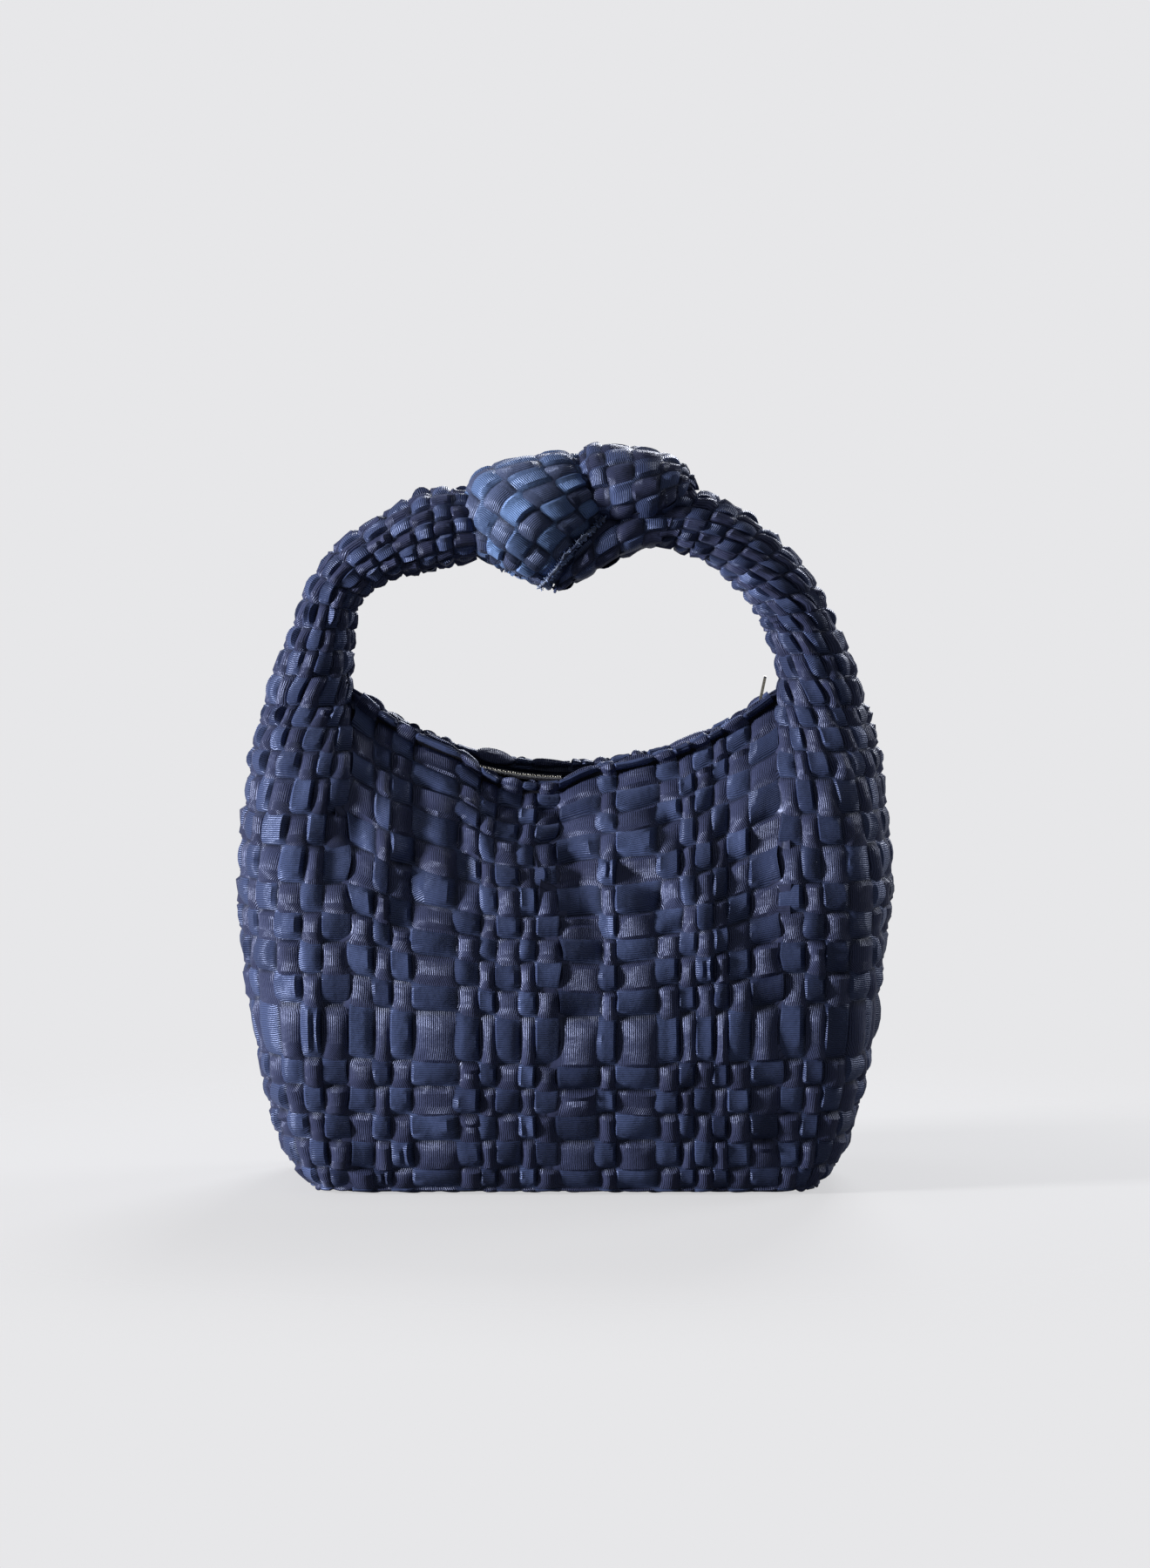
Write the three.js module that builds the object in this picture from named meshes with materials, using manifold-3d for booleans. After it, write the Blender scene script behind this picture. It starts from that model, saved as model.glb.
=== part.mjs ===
// Woven ribbon handbag with two horns, a knotted handle and a zip across its dipped mouth.
// Millimetres, +X to the right, front towards -Y, +Z up, origin under the middle of the base.
import * as THREE from 'three';
import { mergeVertices } from 'three/addons/utils/BufferGeometryUtils.js';
import Module from 'manifold-3d';

const wasm = await Module();
wasm.setup();

// Driving dimensions
const mouthHalf = 89;              // from the middle to the column where a horn begins
const arcCentreZ = 317;            // centre of the arc that the mouth and the zip follow
const rimRadius = 139;             // top of the folded hem
const panelTopRadius = 144;        // top of the woven panels, under the hem
const zipRadius = 146;             // middle of the zip tape
const wall = 2.6;                  // two crossing ribbons and their backing
const lining = 0.8;
const liningOffset = 3.2;          // outer face of the walls to outer face of the lining
const gap = 0.3;
const flapStart = 0.62;            // share of the wall's height that stays still when the mouth opens
const flapSideGap = 2.4;
const boardThickness = 2;
const leanZ = 222;                 // height of the axis that the handle leans about
const leanRadius = 16.4;
const coreOffset = 3.5;

const zip = {
  pitch: 2.13, toothWidth: 0.85, toothReach: 1.2, beadInner: 1.5, beadOuter: 2.6,
  chainThickness: 2, tapeThickness: 0.8, middleGap: 1.3,
  endX: { left: 65.5, right: 76.5 },       // where the tape and teeth of the flaps end
  endInnerX: { left: 66.8, right: 77.8 },  // where the sewn-in ends begin
  endOuterX: { left: 87.4, right: 90.4 },
  stopX: { left: -75, right: 88.6 }, stopThickness: 0.8, stopLength: 1.6,
};
const slider = {
  restX: 84, length: 8.4, halfWidth: 3.9, plate: 1.1, clearance: 0.3,
  bridgeHeight: 2.8, bridgeWidth: 1.2, bridgeBar: 0.9, bridgeLeg: 1, bridgeReach: 2.6,
};
const puller = {
  length: 15, width: 4.2, thickness: 1.1, eyeLength: 2.7, eyeWidth: 2.2, rim: 0.68,
  lean: 137,                         // degrees from lying along the chain to leaning on the horn
};

// Half depth of the front and back walls up a wall's height, at the horns and in the middle
const depthAtHorn = [[0, 50], [0.05, 53], [0.15, 56.5], [0.3, 59.5], [0.45, 59], [0.6, 54],
  [0.75, 43], [0.88, 28], [1, 8]];
const depthInMiddle = [[0, 51], [0.05, 54.5], [0.15, 59], [0.3, 63], [0.45, 62.5], [0.6, 58],
  [0.75, 47.5], [0.88, 32], [1, 13.5]];

// Half width of the bag at each height
const halfWidth = [[0, 106], [3, 110], [10, 116], [18, 120.5], [32, 124.5], [47, 128], [62, 131],
  [77, 133.6], [98, 136.3], [128, 138.4], [158, 136.4], [187, 132.2], [204, 127.4]];

// Shape of a gusset's section up the wall's height: how far the front runs on before its corner,
// as a share of the width, then the depths of the two handles of the section's curve
const gussetRun = [[0, 0.8], [0.3, 0.8], [0.6, 0.74], [0.75, 0.62], [0.88, 0.42], [1, 0.12]];
const gussetFrontDepth = [[0, 50.5], [0.3, 60.5], [0.6, 57], [0.75, 50], [0.88, 39], [1, 24]];
const gussetSideDepth = [[0, 45], [0.3, 50], [0.6, 47], [0.75, 42], [0.88, 34], [1, 24]];

// The two arms of the handle: inner point, outer point, half depth
const arms = {
  left: [
    [[-90.2, 205.6], [-126.5, 205.6], 18.6], [[-90.2, 222], [-121.2, 223], 16.8],
    [[-88.8, 236], [-114.8, 238], 14.6], [[-86, 246.5], [-108, 256], 13.4],
    [[-78.3, 252.4], [-95.4, 271], 13.2], [[-69, 256.8], [-79, 282.5], 14],
    [[-58, 258.5], [-63, 292], 15.6], [[-47, 262], [-49, 294.5], 15.6], [[-34, 265], [-35, 292], 14],
  ],
  right: [
    [[90.2, 205.6], [126.5, 205.6], 18.6], [[89.6, 220], [121.6, 222], 16.8],
    [[84.4, 234.5], [115.4, 236.5], 15.4], [[80, 243], [108.5, 250.5], 14.6],
    [[73.5, 251], [99, 264.8], 14], [[66, 258], [86, 276.6], 13.6], [[56, 264.3], [72, 287], 13.6],
    [[46, 268.5], [57, 293], 13.6], [[36, 270], [42, 294], 13],
  ],
};

// The three folds of the knot as short tubes: lower point, upper point, half depth, end to end
const knotFolds = {
  knot_wrap: [
    [[-15, 255], [-41, 268], 7], [[-8, 251], [-45, 274], 15], [[-2, 255], [-46, 287], 21],
    [[6, 265], [-38, 301], 24], [[13, 273.5], [-18, 308], 22.5], [[18.5, 281], [2, 310], 16],
    [[20, 286], [8, 306], 7],
  ],
  knot_loop: [
    [[6, 286], [3, 304], 10], [[13, 281], [9, 313], 17.5], [[24, 277.5], [21, 313.5], 20.5],
    [[36, 278], [38, 311], 20], [[47, 283], [49, 306], 15], [[53, 289], [54.5, 300.5], 7],
  ],
  knot_under: [
    [[-3, 250], [1, 256], 4], [[7, 254.5], [9, 268], 10], [[20, 262], [20, 280], 14],
    [[32, 267], [33, 284], 15], [[42, 270], [46, 284], 14],
  ],
};

const lowestEdge = 0.35;             // the walls clear the ground, which the base panel rests on

const fabric = (color) => ({ color, roughness: 0.72, metalness: 0 });
const metal = { color: 0xc4c6c8, roughness: 0.28, metalness: 1 };
const finishes = {
  ribbon: fabric(0x232c5a), ribbonLight: fabric(0x2e3a70), hem: fabric(0x1e2650),
  lining: fabric(0x14182f), tape: fabric(0x101426),
  board: { color: 0x8a8378, roughness: 0.9, metalness: 0 },
  wadding: fabric(0x191f3c), metal,
};

// A smooth curve through the stations [place, value]
function through(stations) {
  const slope = (i) => {
    const before = stations[Math.max(i - 1, 0)];
    const after = stations[Math.min(i + 1, stations.length - 1)];
    return (after[1] - before[1]) / (after[0] - before[0]);
  };
  return (place) => {
    let i = 0;
    while (i < stations.length - 2 && place > stations[i + 1][0]) i += 1;
    const [start, from] = stations[i];
    const [end, to] = stations[i + 1];
    const span = end - start;
    const t = Math.min(Math.max((place - start) / span, 0), 1);
    const t2 = t * t;
    const t3 = t2 * t;
    return (2 * t3 - 3 * t2 + 1) * from + (t3 - 2 * t2 + t) * span * slope(i)
      + (3 * t2 - 2 * t3) * to + (t3 - t2) * span * slope(i + 1);
  };
}

const hornDepth = through(depthAtHorn);
const middleDepth = through(depthInMiddle);
const widthAt = through(halfWidth);
const runAt = through(gussetRun);
const frontDepthAt = through(gussetFrontDepth);
const sideDepthAt = through(gussetSideDepth);

const bezier = (a, b, c, d, t) => {
  const s = 1 - t;
  return s * s * s * a + 3 * s * s * t * b + 3 * s * t * t * c + t * t * t * d;
};

// Height of the panels' top edge at a place across the mouth, and of a row of the weave below it
const panelTop = (x) => arcCentreZ - Math.sqrt(panelTopRadius ** 2 - x * x);
function rowHeight(x, v) {
  const dipped = v > 0.2 ? ((v - 0.2) / 0.8) ** 1.6 : 0;
  return panelTop(0) * v + (panelTop(x) - panelTop(0)) * dipped;
}

// Front (side -1) and back (side 1) wall: s runs across the mouth from -1 to 1, v from base to rim
const wallSurface = (side) => (s, v) => {
  const x = mouthHalf * s;
  const crown = 1 - s * s;
  const depth = hornDepth(v) + (middleDepth(v) - hornDepth(v)) * crown;
  return new THREE.Vector3(x, side * depth, rowHeight(x, v));
};

// Gusset and lower horn (dir -1 left, 1 right): p runs from the front at -1 round to the back at 1
const gussetSurface = (dir) => (p, v) => {
  const z = rowHeight(mouthHalf, v);
  const reach = widthAt(z) - mouthHalf;
  const t = 1 - Math.abs(p);
  const out = bezier(0, reach * runAt(v), reach, reach, t);
  const depth = bezier(hornDepth(v), frontDepthAt(v), sideDepthAt(v), 0, t);
  return new THREE.Vector3(dir * (mouthHalf + out), Math.sign(p) * depth, z);
};

// Arm of the handle: p runs round the section from the inner line, t along the arm
const armSurface = (stations) => {
  const inner = new THREE.CatmullRomCurve3(stations.map(([i]) => new THREE.Vector3(i[0], 0, i[1])));
  const outer = new THREE.CatmullRomCurve3(stations.map(([, o]) => new THREE.Vector3(o[0], 0, o[1])));
  const depth = through(stations.map(([, , d], i) => [i / (stations.length - 1), d]));
  return (p, t) => {
    const a = inner.getPoint(t);
    const b = outer.getPoint(t);
    const along = 1 - Math.abs(p);
    const out = bezier(0, 0, 1, 1, along);
    const half = bezier(0, depth(t) * 4 / 3, depth(t) * 4 / 3, 0, along);
    return a.lerp(b, out).setY(Math.sign(p) * half);
  };
};

const armMiddle = (stations) => {
  const surface = armSurface(stations);
  return (p, t) => surface(-1, t).lerp(surface(0, t), 0.5);
};

function indexed(positions, triangles) {
  const geometry = new THREE.BufferGeometry();
  geometry.setAttribute('position', new THREE.Float32BufferAttribute(positions, 3));
  geometry.setIndex(triangles);
  return facingOut(mergeVertices(geometry, 1e-3));
}

// Turns a closed geometry's triangles so that its volume is positive
function facingOut(geometry) {
  const position = geometry.attributes.position;
  const index = Array.from(geometry.index.array);
  const [a, b, c] = [new THREE.Vector3(), new THREE.Vector3(), new THREE.Vector3()];
  const kept = [];
  let volume = 0;
  for (let i = 0; i < index.length; i += 3) {
    const [j, k, l] = index.slice(i, i + 3);
    if (j === k || k === l || j === l) continue;
    kept.push(j, k, l);
    a.fromBufferAttribute(position, j);
    b.fromBufferAttribute(position, k);
    c.fromBufferAttribute(position, l);
    volume += a.dot(b.cross(c));
  }
  if (volume < 0) {
    for (let i = 0; i < kept.length; i += 3) [kept[i], kept[i + 1]] = [kept[i + 1], kept[i]];
  }
  geometry.setIndex(kept);
  return geometry;
}

const span = (from, to, count) =>
  Array.from({ length: count + 1 }, (_, i) => from + ((to - from) * i) / count);

// A point of a surface moved inwards along its normal, which points away from the inside point
function offsetPoint(surface, u, v, depth, inside) {
  const step = 1e-3;
  const point = surface(u, v);
  const du = surface(Math.min(u + step, 1), v).sub(surface(Math.max(u - step, -1), v));
  const dv = surface(u, Math.min(v + step, 1)).sub(surface(u, Math.max(v - step, 0)));
  const normal = du.cross(dv).normalize();
  if (normal.dot(point.clone().sub(inside(u, v))) < 0) normal.negate();
  return point.addScaledVector(normal, -depth);
}

// A sheet of cloth between two depths under a surface; a closed one goes all round a tube
function sheet(surface, us, vs, from, to, inside, closed = false) {
  const positions = [];
  const columns = closed ? us.slice(0, -1) : us;
  for (const depth of [from, to]) {
    for (const v of vs) {
      for (const u of columns) positions.push(...offsetPoint(surface, u, v, depth, inside));
    }
  }
  const [nu, nv] = [columns.length, vs.length];
  const layer = nu * nv;
  const at = (k, i, j) => k * layer + j * nu + (i % nu);
  const triangles = [];
  const quad = (a, b, c, d) => triangles.push(a, b, c, a, c, d);
  const runs = closed ? nu : nu - 1;
  for (let j = 0; j < nv - 1; j += 1) {
    for (let i = 0; i < runs; i += 1) {
      quad(at(0, i, j), at(0, i + 1, j), at(0, i + 1, j + 1), at(0, i, j + 1));
      quad(at(1, i, j), at(1, i, j + 1), at(1, i + 1, j + 1), at(1, i + 1, j));
    }
    if (!closed) {
      quad(at(0, 0, j), at(0, 0, j + 1), at(1, 0, j + 1), at(1, 0, j));
      quad(at(0, nu - 1, j), at(1, nu - 1, j), at(1, nu - 1, j + 1), at(0, nu - 1, j + 1));
    }
  }
  for (let i = 0; i < runs; i += 1) {
    quad(at(0, i, 0), at(1, i, 0), at(1, i + 1, 0), at(0, i + 1, 0));
    quad(at(0, i, nv - 1), at(0, i + 1, nv - 1), at(1, i + 1, nv - 1), at(1, i, nv - 1));
  }
  return indexed(positions, triangles);
}

// A solid through rings of points with equal counts, its ends closed by fans
function lofted(rings) {
  const n = rings[0].length;
  const positions = rings.flat().flatMap((p) => [p.x, p.y, p.z]);
  const triangles = [];
  for (let j = 0; j < rings.length - 1; j += 1) {
    for (let i = 0; i < n; i += 1) {
      const [a, b] = [j * n + i, j * n + ((i + 1) % n)];
      triangles.push(a, b, b + n, a, b + n, a + n);
    }
  }
  const last = (rings.length - 1) * n;
  for (let i = 1; i < n - 1; i += 1) triangles.push(0, i + 1, i, last, last + i, last + i + 1);
  return indexed(positions, triangles);
}

function solid(geometry) {
  const plain = geometry.clone();
  plain.deleteAttribute('normal');
  plain.deleteAttribute('uv');
  const merged = mergeVertices(plain, 1e-4);
  return new wasm.Manifold(new wasm.Mesh({
    numProp: 3,
    vertProperties: new Float32Array(merged.attributes.position.array),
    triVerts: new Uint32Array(merged.index.array),
  }));
}

function geometryOf(manifold) {
  const mesh = manifold.getMesh();
  return indexed(Array.from(mesh.vertProperties), Array.from(mesh.triVerts));
}

const placed = (geometry, x, y, z) => solid(geometry.translate(x, y, z));

// Places along the mouth: an angle on the arc, a radius from its centre and a depth in Y
const onArc = (angle, radius, y) =>
  new THREE.Vector3(radius * Math.sin(angle), y, arcCentreZ - radius * Math.cos(angle));
const arcAngle = (x, radius) => Math.asin(x / radius);

// A bar that follows the mouth's arc: corners(angle) gives its section as [y, radius] pairs
const arcLoft = (angles, corners) =>
  lofted(angles.map((angle) => corners(angle).map(([y, r]) => onArc(angle, r, y))));

// The same between two places across the mouth, with its section given at each place
const arcBar = (fromX, toX, steps, radius, corners) =>
  arcLoft(span(arcAngle(fromX, radius), arcAngle(toX, radius), steps),
    (angle) => corners(radius * Math.sin(angle)));

const slab = (y0, y1, r0, r1) => [[y0, r0], [y1, r0], [y1, r1], [y0, r1]];

// Depth of the middle of the hem at a place across the mouth
const hemEndX = 84;
const hemDepth = (x) => 7.3 + 5.4 * (1 - (x / mouthHalf) ** 2);

function hem(side, dir) {
  const halfThick = 2.5;
  const halfTall = (panelTopRadius - gap - rimRadius) / 2;
  const middle = rimRadius + halfTall;
  return arcBar(dir * 0.5, dir * hemEndX, 10, rimRadius, (x) => span(0, 7, 7).map((k) => {
    const turn = (k / 8) * 2 * Math.PI;
    return [side * hemDepth(x) + halfThick * Math.cos(turn), middle + halfTall * Math.sin(turn)];
  }));
}

function tape(side, dir, endX) {
  const half = zip.tapeThickness / 2;
  return arcBar(dir * zip.middleGap, dir * endX, 14, zipRadius, (x) =>
    slab(side * (zip.beadOuter + gap), side * (hemDepth(x) - 3.2), zipRadius - half, zipRadius + half));
}

// One row of teeth: a bead on the tape's edge, with the teeth standing out of it
function teeth(side, dir, endX) {
  const chain = zip.chainThickness / 2;
  const toothCount = Math.floor((endX - zip.middleGap - 1.5) / zip.pitch);
  const first = zip.middleGap + 0.2 + (side < 0 ? 0 : zip.pitch / 2);
  const bar = (from, to, steps, near, far) =>
    solid(arcLoft(span(from, to, steps).map((along) => (dir * along) / zipRadius),
      () => slab(side * near, side * far, zipRadius - chain, zipRadius + chain)));
  const last = first + (toothCount - 1) * zip.pitch + zip.toothWidth + 0.3;
  let row = bar(zip.middleGap, last, toothCount, zip.beadInner, zip.beadOuter);
  for (const start of span(first, first + (toothCount - 1) * zip.pitch, toothCount - 1)) {
    row = row.add(bar(start, start + zip.toothWidth, 1, -zip.toothReach, zip.beadInner + 0.1));
  }
  return geometryOf(row);
}

// The closed end of the zip, sewn into the horn, with its last teeth as one bar
function zipEnd(dir, innerX, outerX) {
  const half = zip.tapeThickness / 2;
  const chain = zip.chainThickness / 2;
  const [from, to] = [dir * innerX, dir * outerX];
  const strip = solid(arcBar(from, to, 6, zipRadius, (x) =>
    slab(-(hemDepth(x) - 3.4), hemDepth(x) - 3.4, zipRadius - half, zipRadius + half)));
  const bar = solid(arcBar(from, to, 6, zipRadius, () =>
    slab(-zip.beadOuter, zip.beadOuter, zipRadius - chain, zipRadius + chain)));
  return geometryOf(strip.add(bar));
}

function zipStop(dir, nearX) {
  const top = zipRadius - zip.chainThickness / 2 - gap;
  return arcBar(nearX, nearX + dir * zip.stopLength, 1, zipRadius, () =>
    slab(-2.4, 2.4, top - zip.stopThickness, top));
}

const sliderAngle = arcAngle(slider.restX, zipRadius);
const sliderHalfX = (slider.length / 2) * Math.cos(sliderAngle);
const sliderTop = zipRadius - zip.chainThickness / 2 - slider.clearance;

// Upper plate with its two flanges, and the bridge that holds the puller
function sliderBody() {
  const [from, to] = [slider.restX - sliderHalfX, slider.restX + sliderHalfX];
  const inner = zip.beadOuter + slider.clearance;
  const foot = zipRadius - zip.tapeThickness / 2 - slider.clearance;
  const half = slider.halfWidth;
  const body = solid(arcBar(from, to, 4, zipRadius, () => [
    [-half, sliderTop - slider.plate], [half, sliderTop - slider.plate], [half, foot], [inner, foot],
    [inner, sliderTop], [-inner, sliderTop], [-inner, foot], [-half, foot],
  ]));
  const bridgeLow = sliderTop - slider.plate + 0.1;
  const along = (distance) => slider.restX + distance * Math.cos(sliderAngle);
  const arch = (a, b, r0, r1) => solid(arcBar(along(a), along(b), 2, zipRadius, () =>
    slab(-slider.bridgeWidth / 2, slider.bridgeWidth / 2, r0, r1)));
  const high = bridgeLow - slider.bridgeHeight;
  const [reach, leg] = [slider.bridgeReach, slider.bridgeLeg];
  return geometryOf(body
    .add(arch(-reach, -reach + leg, high, bridgeLow))
    .add(arch(reach - leg, reach, high, bridgeLow))
    .add(arch(-reach, reach, high, high + slider.bridgeBar)));
}

function sliderPlate() {
  const top = zipRadius + zip.chainThickness / 2 + slider.clearance;
  return arcBar(slider.restX - sliderHalfX, slider.restX + sliderHalfX, 4, zipRadius, () =>
    slab(-slider.halfWidth, slider.halfWidth, top, top + slider.plate));
}

// The puller's eye goes round the bridge's lower leg, and its tab leans back towards the horn
const pullerPivot = onArc(sliderAngle, sliderTop - slider.plate - 0.9, 0);
function pullerTab() {
  const shape = new THREE.Shape();
  const half = puller.width / 2;
  const eyeMiddle = -puller.rim - puller.eyeLength / 2;
  const tip = -puller.length + half;
  shape.moveTo(half, eyeMiddle);
  shape.absarc(0, eyeMiddle, half, 0, Math.PI, false);
  shape.lineTo(-half * 0.8, tip);
  shape.absarc(0, tip, half * 0.8, Math.PI, 2 * Math.PI, false);
  shape.closePath();
  const eye = new THREE.Path();
  eye.absellipse(0, eyeMiddle, puller.eyeWidth / 2, puller.eyeLength / 2, 0, 2 * Math.PI, true);
  shape.holes.push(eye);
  const flat = new THREE.ExtrudeGeometry(shape, {
    depth: puller.thickness, bevelEnabled: false, curveSegments: 6,
  });
  flat.translate(0, 0, -puller.thickness / 2);
  // from lying flat with its tab towards -Y, to along the chain with its width in Y
  const turn = new THREE.Matrix4().makeBasis(
    new THREE.Vector3(0, 1, 0),
    new THREE.Vector3(Math.cos(sliderAngle), 0, Math.sin(sliderAngle)),
    new THREE.Vector3(-Math.sin(sliderAngle), 0, Math.cos(sliderAngle)).negate(),
  );
  flat.deleteAttribute('normal');
  flat.deleteAttribute('uv');
  flat.applyMatrix4(turn);
  flat.rotateY(THREE.MathUtils.degToRad(puller.lean));
  flat.translate(...pullerPivot);
  return facingOut(mergeVertices(flat, 1e-3));
}

// A fold of the knot, grown all round by a margin
function fold(stations, margin = 0) {
  const surface = armSurface(stations);
  const inside = armMiddle(stations);
  const rings = span(0, 1, 9).map((t) =>
    span(-1, 1, 16).slice(0, -1).map((p) => offsetPoint(surface, p, t, -margin, inside)));
  for (const [ring, end, before] of [[rings[0], 0, 0.1], [rings[9], 1, 0.9]]) {
    const outwards = inside(0, end).sub(inside(0, before)).setLength(1);
    for (const point of ring) point.addScaledVector(outwards, 2 * margin);
  }
  return solid(lofted(rings));
}

const armLoop = () => span(-1, 1, 16);
const armSteps = () => span(0, 1, 12);

// What the handle may fill at its foot: everything over the leaning axis, and a drum round it
const drum = new THREE.CylinderGeometry(leanRadius, leanRadius, 300, 40).rotateZ(Math.PI / 2);
const handleRoom = placed(new THREE.BoxGeometry(400, 120, 160), 0, 0, leanZ + 80)
  .add(placed(drum, 0, 0, leanZ));

function armTube(stations, knot) {
  const geometry = sheet(armSurface(stations), armLoop(), armSteps(), 0, wall, armMiddle(stations), true);
  return geometryOf(solid(geometry).intersect(handleRoom).subtract(knot));
}

function armCore(stations, knot) {
  const surface = armSurface(stations);
  const inside = armMiddle(stations);
  const rings = span(0.02, 0.98, 11).map((t) =>
    span(-1, 1, 10).slice(0, -1).map((p) => offsetPoint(surface, p, t, coreOffset, inside)));
  return geometryOf(solid(lofted(rings)).intersect(handleRoom).subtract(knot));
}

const bagMiddle = (u, v) => new THREE.Vector3(0, 0, 60 + 60 * v);
const gussetMiddle = (dir) => (p, v) => new THREE.Vector3(dir * (mouthHalf + 4), 0, rowHeight(mouthHalf, v));

// The outline of the base inside the walls' lower edge
function baseOutline(inset) {
  const corner = (dir, side) => span(0, 1, 8).map((t) => {
    const p = gussetSurface(dir)(side * Math.max(1 - t, 1e-4), 0);
    return new THREE.Vector2(p.x, p.y);
  });
  const points = [...corner(1, -1), ...corner(1, 1).reverse(), ...corner(-1, 1), ...corner(-1, -1).reverse()];
  const shape = [];
  for (const p of points) {
    const scaled = new THREE.Vector2(
      p.x * (1 - inset / halfWidth[0][1]), p.y * (1 - inset / depthAtHorn[0][1]));
    if (!shape.length || scaled.distanceTo(shape[shape.length - 1]) > 0.5) shape.push(scaled);
  }
  return new THREE.Shape(shape);
}

const basePlate = (inset, from, thickness) => new THREE.ExtrudeGeometry(baseOutline(inset),
  { depth: thickness, bevelEnabled: false }).translate(0, 0, from);

const bag = new THREE.Group();
function add(name, geometry, finish) {
  const mesh = new THREE.Mesh(geometry, new THREE.MeshStandardMaterial(finish));
  mesh.name = name;
  bag.add(mesh);
}

const lowestRow = lowestEdge / panelTop(0);
const seam = gap / mouthHalf;
const flapEdge = 1 - flapSideGap / mouthHalf;
const rowsBelow = [lowestRow, 0.02, 0.05, 0.1, 0.18, 0.28, 0.39, 0.5, flapStart];
const rowsAbove = span(flapStart + 0.003, 1, 7);
const liningTop = 0.955;
const liningLow = 0.055;
const rowsOfGusset = [...rowsBelow, 0.7, 0.78, 0.86, 0.93, 1];

for (const [name, side] of [['front', -1], ['back', 1]]) {
  const surface = wallSurface(side);
  const across = span(-1 + seam, 1 - seam, 10);
  add(`${name}_panel`, sheet(surface, across, rowsBelow, 0, wall, bagMiddle), finishes.ribbon);
  add(`${name}_lining`, sheet(surface, span(-1 + seam, 1 - seam, 6), [liningLow, ...rowsBelow.slice(3)],
    liningOffset, liningOffset + lining, bagMiddle), finishes.lining);
  for (const [half, dir] of [['left', -1], ['right', 1]]) {
    const places = dir < 0 ? span(-flapEdge, -0.005, 6) : span(0.005, flapEdge, 6);
    add(`${name}_${half}_flap`, sheet(surface, places, rowsAbove, 0, wall, bagMiddle), finishes.ribbonLight);
    add(`${name}_${half}_flap_lining`, sheet(surface, places, span(flapStart + 0.003, liningTop, 5),
      liningOffset, liningOffset + lining, bagMiddle), finishes.lining);
    add(`${name}_${half}_hem`, hem(side, dir), finishes.hem);
    add(`${name}_${half}_tape`, tape(side, dir, zip.endX[half]), finishes.tape);
    add(`${name}_${half}_teeth`, teeth(side, dir, zip.endX[half]), finishes.metal);
  }
}

const around = [...span(-1, -0.0001, 8), ...span(0.0001, 1, 8)];
const liningAround = [...span(-1, -0.0001, 5), ...span(0.0001, 1, 5)];
for (const [half, dir] of [['left', -1], ['right', 1]]) {
  add(`${half}_side_panel`, sheet(gussetSurface(dir), around, rowsOfGusset, 0, wall, gussetMiddle(dir)),
    finishes.ribbon);
  add(`${half}_side_lining`, sheet(gussetSurface(dir), liningAround,
    [liningLow, ...rowsOfGusset.slice(3, -2)], liningOffset, liningOffset + lining, gussetMiddle(dir)),
    finishes.lining);
  add(`${half}_zip_end`, zipEnd(dir, zip.endInnerX[half], zip.endOuterX[half]), finishes.tape);
}

add('base_panel', basePlate(wall + 0.6, 0, wall), finishes.ribbon);
add('base_board', basePlate(wall + 1.2, wall + gap, boardThickness), finishes.board);
add('base_lining', basePlate(wall + 1.2, wall + gap + boardThickness + gap, lining), finishes.lining);

add('zip_bottom_stop', zipStop(-1, zip.stopX.left), finishes.metal);
add('zip_top_stop', zipStop(1, zip.stopX.right), finishes.metal);
add('zip_slider', sliderBody(), finishes.metal);
add('zip_slider_plate', sliderPlate(), finishes.metal);
add('zip_puller', pullerTab(), finishes.metal);

const wrap = fold(knotFolds.knot_wrap);
const loop = fold(knotFolds.knot_loop).subtract(fold(knotFolds.knot_wrap, gap));
const under = fold(knotFolds.knot_under)
  .subtract(fold(knotFolds.knot_wrap, gap)).subtract(fold(knotFolds.knot_loop, gap));
const knotRoom = fold(knotFolds.knot_wrap, gap).add(fold(knotFolds.knot_loop, gap))
  .add(fold(knotFolds.knot_under, gap));
add('knot_wrap', geometryOf(wrap), finishes.ribbonLight);
add('knot_loop', geometryOf(loop), finishes.ribbon);
add('knot_under', geometryOf(under), finishes.ribbon);
for (const [half, stations] of Object.entries(arms)) {
  add(`${half}_arm`, armTube(stations, knotRoom), finishes.ribbon);
  add(`${half}_arm_core`, armCore(stations, knotRoom), finishes.wadding);
}

export default bag;
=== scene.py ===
import math
import bmesh
import bpy
import numpy as np
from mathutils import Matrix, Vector, noise


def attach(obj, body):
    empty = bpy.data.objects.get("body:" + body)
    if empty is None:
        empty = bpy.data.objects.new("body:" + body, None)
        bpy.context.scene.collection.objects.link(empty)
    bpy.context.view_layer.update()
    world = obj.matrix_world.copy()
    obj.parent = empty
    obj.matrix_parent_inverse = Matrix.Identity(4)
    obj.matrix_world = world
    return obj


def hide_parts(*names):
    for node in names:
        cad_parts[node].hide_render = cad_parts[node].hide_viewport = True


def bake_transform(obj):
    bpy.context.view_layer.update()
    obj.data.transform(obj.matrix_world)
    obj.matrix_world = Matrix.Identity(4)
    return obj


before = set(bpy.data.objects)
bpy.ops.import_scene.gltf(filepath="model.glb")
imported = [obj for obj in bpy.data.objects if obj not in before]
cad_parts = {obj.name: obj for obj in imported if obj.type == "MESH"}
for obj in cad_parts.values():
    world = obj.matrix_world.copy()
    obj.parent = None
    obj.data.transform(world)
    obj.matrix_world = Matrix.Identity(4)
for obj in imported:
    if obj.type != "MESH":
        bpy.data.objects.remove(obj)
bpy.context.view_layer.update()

scene = bpy.context.scene
mm = 0.001


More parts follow.
